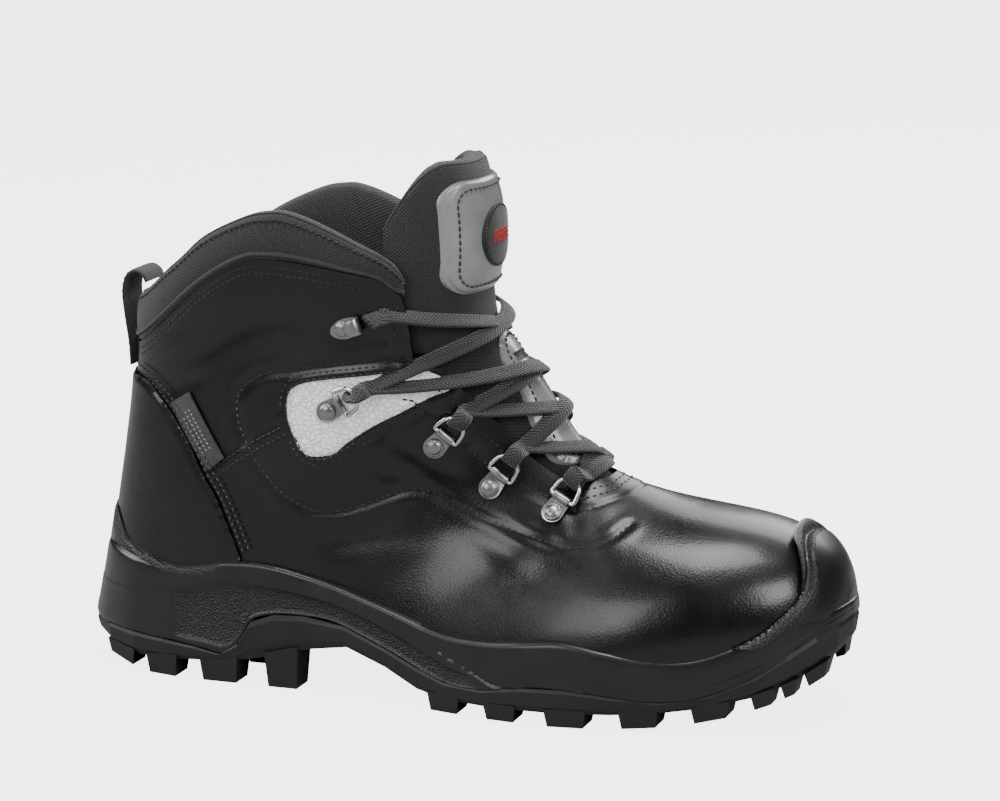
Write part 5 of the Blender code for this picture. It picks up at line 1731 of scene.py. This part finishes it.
class Fittings(Work):
    """The riveted plates, their rings and the hooks, each modelled once in millimetres and copied."""

    PLATE_THICK = 0.9
    STANDOFF = 0.45
    END_RADIUS = 4.4
    RIVET_RADIUS = 3.4
    RIVET_EDGE = 0.45
    # The rivet's dome above its edge, as steps up and changes of radius
    RIVET_STEPS = ((0.12, -0.16), (0.0, -0.36), (0.24, -0.22), (0.3, -0.42), (0.22, -0.62), (0.12, -0.72))
    # The hook's side view from its heel to its tip, as reach, height and half width
    HOOK_PATH = (
        (-5.0, 0.9, 3.2),
        (0.0, 0.9, 4.0),
        (4.6, 0.9, 3.7),
        (6.7, 1.4, 3.3),
        (7.7, 2.8, 3.2),
        (7.5, 4.4, 3.2),
        (6.4, 5.5, 3.1),
        (4.6, 5.9, 2.9),
        (2.2, 5.8, 2.2),
    )

    def frame_of(self, fitting: Fitting, side: int) -> Matrix:
        """The place of a fitting: first axis from rivet to ring, third axis outwards."""
        mirror = -side
        rivet, out = self.last.at(fitting.rivet_row, mirror * fitting.rivet_share)
        ring, _ = self.last.at(fitting.ring_row, mirror * fitting.ring_share)
        out = self.last.outward(rivet, out)
        toward = ring - rivet
        toward = (toward - out * toward.dot(out)).normalized()
        aside = out.cross(toward)
        swell = 0.0
        for row_step in (-0.4, -0.2, 0.0, 0.2, 0.4):
            for share_step in (-0.05, -0.025, 0.0, 0.025, 0.05):
                near, _ = self.last.at(
                    fitting.rivet_row + row_step, mirror * (fitting.rivet_share + share_step)
                )
                if (near - rivet).length < SEAT_REACH:
                    swell = max(swell, (near - rivet).dot(out))
        return Matrix.Translation(rivet + out * swell) @ Matrix((toward, aside, out)).transposed().to_4x4()

    def _rivet(self, base: float) -> bpy.types.Object:
        """A domed rivet head with a turned rim, from a disc."""
        start_primitive()
        bpy.ops.mesh.primitive_circle_add(vertices=40, radius=self.RIVET_RADIUS, fill_type="NGON")
        rivet = bpy.context.object
        bpy.ops.object.mode_set(mode="EDIT")
        bpy.ops.mesh.select_all(action="SELECT")
        bpy.ops.mesh.extrude_region_move(TRANSFORM_OT_translate={"value": (0.0, 0.0, self.RIVET_EDGE)})
        radius = self.RIVET_RADIUS
        for rise, inset in self.RIVET_STEPS:
            bpy.ops.mesh.extrude_region_move(TRANSFORM_OT_translate={"value": (0.0, 0.0, rise)})
            scale = (radius + inset) / radius
            bpy.ops.transform.resize(value=(scale, scale, 1.0))
            radius += inset
        bpy.ops.transform.translate(value=(0.0, 0.0, 0.04))
        bpy.ops.object.mode_set(mode="OBJECT")
        rivet.location.z = base
        bpy.ops.object.transform_apply(location=True, rotation=False, scale=False)
        apply_modifier("BEVEL", width=0.12, segments=2, limit_method="ANGLE", angle_limit=math.radians(30))
        rivet.name = "rivet"
        return rivet

    def _leaf(self) -> bpy.types.Object:
        """The leaf plate: a round end about the rivet and a neck to the roll, with a rolled bright rim."""
        start_primitive()
        bpy.ops.mesh.primitive_plane_add(size=1.0)
        leaf = bpy.context.object
        outline = [(RIVET_TO_PIVOT, -KNUCKLE_HALF), (RIVET_TO_PIVOT, KNUCKLE_HALF)]
        for step in range(25):
            turn = math.radians(80 + 200 * step / 24)
            outline.append((self.END_RADIUS * math.cos(turn), self.END_RADIUS * math.sin(turn)))
        mesh = leaf.data
        mesh.clear_geometry()
        points = [(x, y, self.STANDOFF) for x, y in outline]
        mesh.from_pydata(points, [], [tuple(range(len(points)))])
        bpy.ops.object.mode_set(mode="EDIT")
        bpy.ops.mesh.select_all(action="SELECT")
        bpy.ops.mesh.extrude_region_move(TRANSFORM_OT_translate={"value": (0.0, 0.0, self.PLATE_THICK)})
        bpy.ops.mesh.inset(thickness=0.55)
        bpy.ops.transform.translate(value=(0.0, 0.0, -0.22))
        bpy.ops.mesh.select_all(action="SELECT")
        bpy.ops.mesh.normals_make_consistent(inside=False)
        bpy.ops.object.mode_set(mode="OBJECT")
        apply_modifier("BEVEL", width=0.14, segments=2, limit_method="ANGLE", angle_limit=math.radians(35))
        leaf.name = "leaf"
        return leaf

    def _roll(self) -> bpy.types.Object:
        """The plate's end rolled round the ring's bar, from a cylinder with a thick wall."""
        start_primitive()
        bpy.ops.mesh.primitive_cylinder_add(
            vertices=28,
            radius=KNUCKLE_RADIUS,
            depth=2 * KNUCKLE_HALF,
            end_fill_type="NOTHING",
            rotation=(math.pi / 2, 0.0, 0.0),
            location=(RIVET_TO_PIVOT, 0.0, PIVOT_HEIGHT),
        )
        bpy.ops.object.transform_apply(location=True, rotation=True, scale=True)
        apply_modifier("SOLIDIFY", thickness=0.52, offset=-1.0, use_rim=True)
        apply_modifier("BEVEL", width=0.12, segments=2, limit_method="ANGLE", angle_limit=math.radians(50))
        bpy.context.object.name = "roll"
        return bpy.context.object

    def _ring(self) -> bpy.types.Object:
        """The wire ring: a curve with a straight bar and a round bow, given its thickness."""
        start_primitive()
        bpy.ops.curve.primitive_bezier_circle_add(radius=1.0)
        ring = bpy.context.object
        side, bow = RING_HALF_WIDTH, RING_REACH * 1.3333
        spline = ring.data.splines[0]
        start, tip = RING_STRAIGHT + 0.6, RING_STRAIGHT + RING_REACH
        shoulder, elbow = RING_STRAIGHT + bow * 0.45, RING_STRAIGHT + bow * 0.62
        knots = (
            ((0.0, -side + 0.9), (0.0, -side + 0.4), (0.0, -1.5)),
            ((0.0, side - 0.9), (0.0, 1.5), (0.0, side - 0.4)),
            ((0.9, side), (0.45, side), (1.6, side)),
            ((shoulder, side * 0.86), (start, side), (elbow, side * 0.7)),
            ((tip, 0.0), (tip, side * 0.5), (tip, -side * 0.5)),
            ((shoulder, -side * 0.86), (elbow, -side * 0.7), (start, -side)),
            ((0.9, -side), (1.6, -side), (0.45, -side)),
        )
        spline.bezier_points.add(len(knots) - len(spline.bezier_points))
        for point, (centre, left, right) in zip(spline.bezier_points, knots):
            point.handle_left_type = point.handle_right_type = "FREE"
            point.co = (*centre, 0.0)
            point.handle_left = (*left, 0.0)
            point.handle_right = (*right, 0.0)
        ring.data.dimensions = "3D"
        ring.data.resolution_u = 10
        ring.data.bevel_depth = WIRE_RADIUS
        ring.data.bevel_resolution = 5
        ring.rotation_euler = (0.0, math.radians(-RING_LIFT), 0.0)
        ring.location = (RIVET_TO_PIVOT, 0.0, PIVOT_HEIGHT)
        bpy.ops.object.convert(target="MESH")
        bpy.ops.object.transform_apply(location=True, rotation=True, scale=True)
        bpy.context.object.name = "ring"
        return bpy.context.object

    def _hook(self) -> bpy.types.Object:
        """The hook's plate and curl: a flat cap that tapers and turns back over the lace."""
        start_primitive()
        bpy.ops.mesh.primitive_plane_add(size=1.0)
        hook = bpy.context.object
        mesh = hook.data
        mesh.clear_geometry()
        curve = traced(self.HOOK_PATH, 60)
        across = np.linspace(-1.0, 1.0, 13)
        points, faces = [], []
        for number, (x, z, half) in enumerate(curve):
            end = max(1.0 - number / 10.0, (number - 51) / 8.0, 0.0)
            narrow = math.sqrt(max(0.0, 1.0 - min(end, 1.0) ** 2.2)) * 0.9 + 0.1
            for share in across:
                cup = 0.45 * share * share * (1.0 if number > 26 else 0.0)
                points.append((x, half * narrow * share, z - cup))
        for row in range(len(curve) - 1):
            for step in range(len(across) - 1):
                low = row * len(across) + step
                faces.append((low, low + 1, low + 1 + len(across), low + len(across)))
        mesh.from_pydata(points, [], faces)
        bpy.ops.object.mode_set(mode="EDIT")
        bpy.ops.mesh.select_all(action="SELECT")
        bpy.ops.mesh.normals_make_consistent(inside=False)
        bpy.ops.object.mode_set(mode="OBJECT")
        apply_modifier("SOLIDIFY", thickness=1.0, offset=0.0)
        apply_modifier("BEVEL", width=0.22, segments=2, limit_method="ANGLE", angle_limit=math.radians(50))
        hook.name = "hook"
        return hook

    def _set_on(self, name: str, sources: Sequence, matrix: Matrix, finish, node: str) -> None:
        """One piece made of copies of the sources, set on the boot."""
        start_primitive()
        copies = []
        for number, source in enumerate(sources):
            copy = source.copy()
            copy.data = source.data.copy()
            bpy.context.scene.collection.objects.link(copy)
            for polygon in copy.data.polygons:
                polygon.material_index = min(number, 1) if len(sources) > 1 else 0
            copy.select_set(True)
            copies.append(copy)
        bpy.context.view_layer.objects.active = copies[0]
        for copy in copies:
            give_materials(copy, finish if isinstance(finish, tuple) else (finish,))
        if len(copies) > 1:
            bpy.ops.object.join()
        made = bpy.context.object
        made.name = name
        place = Matrix.Scale(MM, 4) @ Matrix.Translation(TO_ROW) @ matrix
        made.data.transform(place)
        bpy.ops.object.shade_smooth_by_angle(angle=math.radians(40))
        register(made, finish, "nickel", node)

    def build(self) -> None:
        """Every plate, ring and hook on both sides of the throat."""
        rivet = self._rivet(self.STANDOFF + self.PLATE_THICK - 0.1)
        leaf, roll, ring, hook = self._leaf(), self._roll(), self._ring(), self._hook()
        plate_finish = (self.finishes.gunmetal, self.finishes.rivet)
        for side, side_name in ((OUTER, "outer"), (INNER, "inner")):
            for fitting in EYELETS:
                matrix = self.frame_of(fitting, side)
                number = side_name + "_" + fitting.name
                node = "eyelet_plate_" + number
                self._set_on(node + "_metal", (leaf, rivet, roll), matrix, plate_finish, node)
                node = "d_ring_" + number
                self._set_on(node + "_wire", (ring,), matrix, self.finishes.wire, node)
            node = "lace_hook_" + side_name
            self._set_on(node + "_metal", (hook, rivet), self.frame_of(HOOK, side), plate_finish, node)
        for source in (rivet, leaf, roll, ring, hook):
            bpy.data.objects.remove(source)


class Laces:
    """Two flat braided bands that cross from ring to ring, and the bar at the throat's foot."""

    CLEAR = 4.6
    HEIGHT = 1.5
    TONGUE_DROP = 2.4
    STEP = 0.9

    def __init__(self, last: Last, fittings: Fittings, finishes: Finishes) -> None:
        self.last = last
        self.fittings = fittings
        self.finishes = finishes

    def _turn(self, fitting: Fitting, side: int) -> list:
        """The lace's way under a ring's bow and back over it."""
        matrix = self.fittings.frame_of(fitting, side)
        forward, out = matrix.to_3x3().col[0].copy(), matrix.to_3x3().col[2].copy()
        bow = matrix @ Vector((RIVET_TO_PIVOT + RING_STRAIGHT + RING_REACH, 0.0, PIVOT_HEIGHT))
        bow += out * math.sin(math.radians(RING_LIFT)) * (RING_STRAIGHT + RING_REACH)
        way = ((3.4, -1.9), (0.6, -2.1), (-1.4, -1.6), (-2.15, 0.0), (-1.4, 1.8), (0.6, 2.3), (3.4, 1.6))
        return [bow + forward * reach + out * rise for reach, rise in way]

    def _end_of(self, fitting: Fitting, side: int) -> tuple[float, float]:
        """Where a lace comes free of a ring or hook, as the row and share on the last."""
        mirror = -side
        rivet, _ = self.last.at(fitting.rivet_row, mirror * fitting.rivet_share)
        ring, _ = self.last.at(fitting.ring_row, mirror * fitting.ring_share)
        reach = RIVET_TO_PIVOT + RING_STRAIGHT + RING_REACH + WIRE_RADIUS + self.CLEAR
        step = reach / (ring - rivet).length
        row = fitting.rivet_row + step * (fitting.ring_row - fitting.rivet_row)
        share = fitting.rivet_share + step * (fitting.ring_share - fitting.rivet_share)
        return row, mirror * share

    def _over(self, start: tuple, end: tuple, lift: float, steps: int = 9) -> list:
        """A way over the instep between two (fitting, side) stops, raised by its lift in the middle."""
        first, last = self._end_of(*start), self._end_of(*end)
        way = []
        for step in np.linspace(0.0, 1.0, steps):
            row = first[0] + step * (last[0] - first[0])
            share = first[1] + step * (last[1] - first[1])
            point, out = self.last.at(row, share)
            out = self.last.outward(point, out)
            sunk = self.TONGUE_DROP * (1.0 - soft_step(4.3, 6.0, row))
            way.append(point + out * (self.HEIGHT + (lift - sunk) * math.sin(math.pi * step) ** 2))
        return way

    def _band(self, name: str, points: list) -> bpy.types.Object:
        """A flat band along points, its width lying on the boot."""
        line = traced([tuple(point) for point in points], 14 * len(points))
        line = evenly(line, int(distances_along(line)[-1] / self.STEP))
        along = unit(np.gradient(line, axis=0))
        beside = []
        for point, forward in zip(line, along):
            near, _, _, _ = self.last.tree.find_nearest(Vector(point))
            centre = np.array([near.x - 40.0, 1.5, near.z - 60.0])
            out = point - centre
            out /= np.linalg.norm(out)
            across = np.cross(forward, out)
            if np.linalg.norm(across) < 0.35 and beside:
                across = beside[-1]
            across /= np.linalg.norm(across)
            if beside and across.dot(beside[-1]) < 0:
                across = -across
            beside.append(across)
        beside = np.array(beside)
        for _ in range(8):
            beside[1:-1] = (beside[:-2] + 2 * beside[1:-1] + beside[2:]) / 4
        return Sweep(line, LACE_WIDTH, LACE_THICK, beside, 0.55, 14).build(name)

    def build(self) -> None:
        """The two lace halves and the bar between the lowest rings."""
        levels = EYELETS + (HOOK,)
        low = EYELETS[0]
        bar = self._turn(low, OUTER)[::-1] + self._over((low, OUTER), (low, INNER), 0.3)
        bar += self._turn(low, INNER)
        ways = {}
        for start_side in (OUTER, INNER):
            side = start_side
            points = [bar[0] if side == OUTER else bar[-1]]
            for number in range(1, len(levels)):
                lift = 1.2 if (side == OUTER) == (number % 2 == 0) else -0.7
                points += self._over((levels[number - 1], side), (levels[number], -side), lift)
                side = -side
                turn = self._turn(levels[number], side)
                points += turn[:4] if number == len(levels) - 1 else turn
            ways[start_side] = points
        pieces = [self._band("lace_bar", bar)]
        pieces += [self._band("lace_half", ways[side]) for side in (OUTER, INNER)]
        start_primitive()
        for piece in pieces:
            piece.select_set(True)
        bpy.context.view_layer.objects.active = pieces[0]
        bpy.ops.object.join()
        laces = bpy.context.object
        laces.name = "braided_laces"
        register(laces, self.finishes.lace, "lace", "laces")


SideRing = namedtuple("SideRing", "low high share inset hollow lean stipple")
# The midsole's side from its foot to its rim: the two heights of a station that a line lies between, the
# share of the way up, how far it is set in, how much further in the hollow panel, how far the back of the
# heel leans forward, and how much of it is stippled
MIDSOLE_SIDE = (
    SideRing("line", "shelf", 0.0, 0.9, 0.0, 0.0, 0.0),
    SideRing("line", "shelf", 0.03, 0.3, 0.1, 0.0, 0.0),
    SideRing("line", "shelf", 0.1, 0.05, 0.4, 0.1, 0.0),
    SideRing("line", "shelf", 0.19, 0.0, 1.35, 0.2, 1.0),
    SideRing("line", "shelf", 0.5, 0.05, 1.5, 1.5, 1.0),
    SideRing("line", "shelf", 0.86, 0.1, 1.35, 2.8, 1.0),
    SideRing("line", "shelf", 0.99, 0.15, 0.35, 3.2, 0.0),
    SideRing("shelf", "edge", 0.06, 0.2, 0.0, 3.6, 0.0),
    SideRing("shelf", "edge", 0.4, 0.3, 0.0, 4.6, 0.0),
    SideRing("shelf", "edge", 0.7, 0.5, 0.0, 5.3, 0.0),
    SideRing("shelf", "edge", 0.9, 0.85, 0.0, 5.8, 0.0),
    SideRing("shelf", "edge", 1.0, 1.8, 0.0, 6.2, 0.0),
)


class Sole(Work):
    """The moulded midsole and the rubber outsole."""

    STATIONS, SIDE_STEPS = 260, 45
    HOLLOW = (46.0, 186.0)
    LEAN_END = 42.0
    FADE = (62.0, 83.0)
    EDGE_ROUND = 2.4
    FLEX_RIBS = tuple(193.0 + 3.6 * number for number in range(9))
    RIB_FOOT, RIB_TOP = 0.02, 0.4
    RIB_DEPTH, RIB_WIDTH = 0.5, 0.75
    GROOVE_DEPTH, GROOVE_WIDTH = 0.7, 0.8
    GROOVE = ((163.0, 25.0), (186.0, 15.0), (205.0, 10.5))

    def build(self) -> None:
        """The midsole with its caps, and the outsole's looks."""
        self.build_midsole()
        self.keep_outsole()

    def _side_lines(self) -> tuple[np.ndarray, np.ndarray]:
        """The midsole's side as rings round the boot, and the stipple at each point."""
        stations = traced(SOLE_STATIONS, self.STATIONS)
        length = SOLE_STATIONS[-1].x
        sides = {OUTER: [], INNER: []}
        marks = []
        for values in stations:
            station = Station(*values)
            start, end = self.HOLLOW
            inside = soft_step(start, start + 5.0, station.x) * (1.0 - soft_step(end - 20.0, end, station.x))
            lean = max(0.0, 1.0 - station.x / self.LEAN_END) ** 1.3
            table = []
            for ring in MIDSOLE_SIDE:
                low, high = getattr(station, ring.low), getattr(station, ring.high)
                z = low + (high - low) * ring.share
                table.append((z, ring.inset + ring.hollow * inside, ring.lean * lean, ring.stipple * inside))
            half = (station.inner - station.outer) / 2
            middle = (station.inner + station.outer) / 2
            column = traced(table, self.SIDE_STEPS)
            marks.append(np.clip(column[:, 3], 0.0, 1.0))
            for side in (OUTER, INNER):
                line = []
                for z, cut, forward, _ in column:
                    share = (z - station.line) / (station.edge - station.line)
                    cut = cut + self._details(station.x, z, share)
                    x = station.x + cut * (1.0 - 2.0 * station.x / length) + forward
                    line.append((x, middle + side * max(half - cut, 0.6 * half), z))
                sides[side].append(line)
        outer, inner = np.array(sides[OUTER]), np.array(sides[INNER])
        rings = np.concatenate([outer, inner[::-1]]).transpose(1, 0, 2)
        marks = np.array(marks)
        return rings, np.concatenate([marks, marks[::-1]]).T

    def _details(self, x: float, z: float, share: float) -> float:
        """How far the flex ribs and the slanting groove cut into the side."""
        cut = 0.0
        if self.RIB_FOOT < share < self.RIB_TOP:
            for rib in self.FLEX_RIBS:
                cut += self.RIB_DEPTH * hump(x, rib, self.RIB_WIDTH) * (1.0 - share / self.RIB_TOP)
        if self.GROOVE[0][0] < x < self.GROOVE[-1][0]:
            cut += self.GROOVE_DEPTH * hump(z, line_at(self.GROOVE, x), self.GROOVE_WIDTH)
        return cut

    def build_midsole(self) -> None:
        """The midsole's bead, panel and ribs, with the toe's scuff cap and the rise at the heel."""
        rings, marks = self._side_lines()
        draft = Draft()
        draft.grid(rings, closed=True)
        count = rings.shape[1]
        for start in (0, (len(rings) - 1) * count):
            for step in range(count // 2 - 1):
                corners = (step, step + 1, count - 2 - step, count - 1 - step)
                draft.face([start + corner for corner in corners])
        side = draft.build("midsole_foam")
        layer = side.data.attributes.new("stipple", "FLOAT", "POINT")
        tree = search_tree([(Vector(point) + TO_ROW) * MM for point in rings.reshape(-1, 3)])
        values = [marks.ravel()[tree.find(vertex.co)[1]] for vertex in side.data.vertices]
        layer.data.foreach_set("value", values)
        hollow = self.skins.solid("room", 0.35)
        combine(hollow, above(FOOT_BED), "INTERSECT")
        combine(side, hollow, "DIFFERENCE")
        register(self.skins.smoothed(side), self.finishes.midsole, "polyurethane", "midsole")
        self._cap("toe_scuff_cap", 3.0, 2.2, rounded(TOE_CAP_EDGE), TOE_CAP_FOOT)
        self._cap("heel_rise", 2.7, 0.6, rounded(HEEL_EDGE), HEEL_RISE_FOOT, HEEL_RISE_ROWS)

    def _cap(
        self,
        name: str,
        grow: float,
        drop: float,
        edge: Sequence,
        foot: Sequence,
        rows: Optional[tuple] = None,
    ) -> None:
        """A moulded wall that rises from the midsole, with a rounded edge and a stippled band along it.

        Args:
            name: the piece's name.
            grow: the wall's outer face, outwards from the last.
            drop: how far the face falls at its edge.
            edge: the side-view line of its upper edge.
            foot: the corners that close its side view.
            rows: the rows of the last that it covers. A wall with rows also thins out over FADE.
        """
        shape = self.last.points.shape
        grid = side_distance(self.last.points.reshape(-1, 3), self.last.normals.reshape(-1, 3), edge)
        distance = grid.reshape(shape[:2])
        heights = -drop * (1.0 - soft_step(0.0, self.EDGE_ROUND, distance))
        if rows is not None:
            heights -= (grow - drop - 0.5) * soft_step(*self.FADE, self.last.points[..., 0])
        cap = self.skins.wall(name, grow, 0.3, heights, rows)
        combine(cap, side_prism("outline", list(edge) + list(foot)), "INTERSECT")
        layer = cap.data.attributes.new("stipple", "FLOAT", "POINT")
        places = np.array([vertex.co for vertex in cap.data.vertices]) / MM - np.array(TO_ROW)
        directions = np.array([vertex.normal for vertex in cap.data.vertices])
        far = side_distance(places, directions, edge)
        layer.data.foreach_set("value", soft_step(1.4, 2.2, far) * (1.0 - soft_step(7.4, 8.4, far)))
        register(self.skins.smoothed(cap), self.finishes.midsole, "polyurethane")

    def keep_outsole(self) -> None:
        """The frame's own outsole, with round edges and its rubber."""
        outsole = bpy.data.objects["outsole"]
        bevel = outsole.modifiers.new("worn_edges", "BEVEL")
        bevel.width = 0.0005
        bevel.segments = 2
        bevel.limit_method = "ANGLE"
        bevel.angle_limit = math.radians(35)
        give_materials(outsole, (self.finishes.rubber,))


class Trim(Work):
    """The insole and the pull loop."""

    def build(self) -> None:
        """The insole and the loop."""
        self.build_insole()
        self.build_loop()

    def build_insole(self) -> None:
        """The cloth-covered insole on the foot bed."""
        slab = self.skins.solid("insole_cloth", -2.6)
        combine(slab, above(FOOT_BED, 0.3), "INTERSECT")
        combine(slab, below(FOOT_BED, 4.2), "INTERSECT")
        register(self.skins.smoothed(slab), self.finishes.felt, "insole_felt", "insole")

    def build_loop(self) -> None:
        """The webbing loop at the back, ribbed along its length and sewn at its foot."""
        line = traced([(x, 0.0, z) for x, z in LOOP_PATH], 120)
        beside = np.tile([0.0, 1.0, 0.0], (len(line), 1))
        loop = Sweep(line, 18.0, 1.7, beside, 0.35, 28).build("pull_loop_webbing")
        register(loop, self.finishes.webbing, "webbing", "pull_loop")
        for y in (-7.0, 7.0):
            points = line[6:100] + np.array([0.0, y, 0.0])
            normals = np.tile([-1.0, 0.0, 0.15], (len(points), 1))
            self.threads.sew(points, normals, 0.0, 0.95)


class Stage:
    """The pale floor, the soft lights and the camera."""

    LENS = 131.8
    TARGET = Vector((0.00522, 0.0015, 0.096))
    LOCATION = Vector((0.4851, -1.3170, 0.4199))
    SHIFT = (0.00787, 0.01684)
    PAPER_GLOW = 4.0
    AMBIENT = 0.06
    MIDDLE = Vector((0.0, 0.0, 0.08))
    Light = namedtuple("Light", "name place size watts")
    LIGHTS = (
        Light("left", (-1.3, -0.35, 1.0), 0.8, 22.0),
        Light("front", (1.25, -0.75, 0.9), 0.7, 16.0),
        Light("rim", (0.3, 1.3, 1.1), 1.1, 22.0),
        Light("top", (0.15, -0.15, 1.5), 0.7, 20.0),
        Light("fill", (-0.5, -1.6, 0.9), 0.8, 12.0),
    )

    def _area(self, name: str, place: tuple, size: float, watts: float) -> None:
        """One soft square light that points at the boot."""
        light = bpy.data.lights.new(name, "AREA")
        light.energy = watts
        light.size = size
        made = bpy.data.objects.new(name, light)
        made.location = place
        made.rotation_euler = (self.MIDDLE - Vector(place)).to_track_quat("-Z", "Y").to_euler()
        bpy.context.scene.collection.objects.link(made)

    def build(self) -> None:
        """Floor, backdrop, lights, world and camera."""
        material, shader = own_material("paper")
        shader.finish(Base_Color=(0.3, 0.3, 0.3, 1.0), Roughness=0.9, Emission_Color=WHITE)
        seen = shader.add("ShaderNodeLightPath").outputs["Is Camera Ray"]
        shader.finish(Emission_Strength=shader.times(seen, self.PAPER_GLOW))
        bpy.ops.mesh.primitive_plane_add(size=12.0, location=(0.0, 0.0, -0.0002))
        floor = bpy.context.object
        floor.name = "floor"
        floor.data.materials.append(material)
        for light in self.LIGHTS:
            self._area(*light)
        world = bpy.data.worlds.new("studio")
        world.use_nodes = True
        background = world.node_tree.nodes["Background"]
        seen = world.node_tree.nodes.new("ShaderNodeLightPath").outputs["Is Camera Ray"]
        strength = world.node_tree.nodes.new("ShaderNodeMapRange")
        world.node_tree.links.new(seen, strength.inputs[0])
        strength.inputs[3].default_value, strength.inputs[4].default_value = self.AMBIENT, 1.0
        world.node_tree.links.new(strength.outputs[0], background.inputs["Strength"])
        background.inputs["Color"].default_value = WHITE
        bpy.context.scene.world = world
        camera = bpy.data.objects.new("camera", bpy.data.cameras.new("camera"))
        camera.data.lens = self.LENS
        camera.data.sensor_width = 36.0
        forward = (self.TARGET - self.LOCATION).normalized()
        right = forward.cross(Z_AXIS).normalized()
        up = right.cross(forward)
        aim = self.TARGET + right * self.SHIFT[0] + up * self.SHIFT[1]
        camera.location = self.LOCATION
        camera.rotation_euler = (aim - self.LOCATION).to_track_quat("-Z", "Y").to_euler()
        bpy.context.scene.collection.objects.link(camera)
        bpy.context.scene.camera = camera


def main() -> None:
    """Model every piece and set the scene."""
    logging.basicConfig(level=logging.INFO, format="%(message)s")
    finishes = Finishes()
    last = Last(QUALITY.value)
    skins = Skins(last, finishes)
    threads = StitchRows()
    Upper(skins, threads).build()
    Collar(skins, threads).build()
    Tongue(skins, threads).build()
    fittings = Fittings(skins, threads)
    fittings.build()
    Laces(last, fittings, finishes).build()
    Sole(skins, threads).build()
    Trim(skins, threads).build()
    register(threads.build("black_stitches"), finishes.thread, "leather")
    Stage().build()


if __name__ == "__main__":
    main()
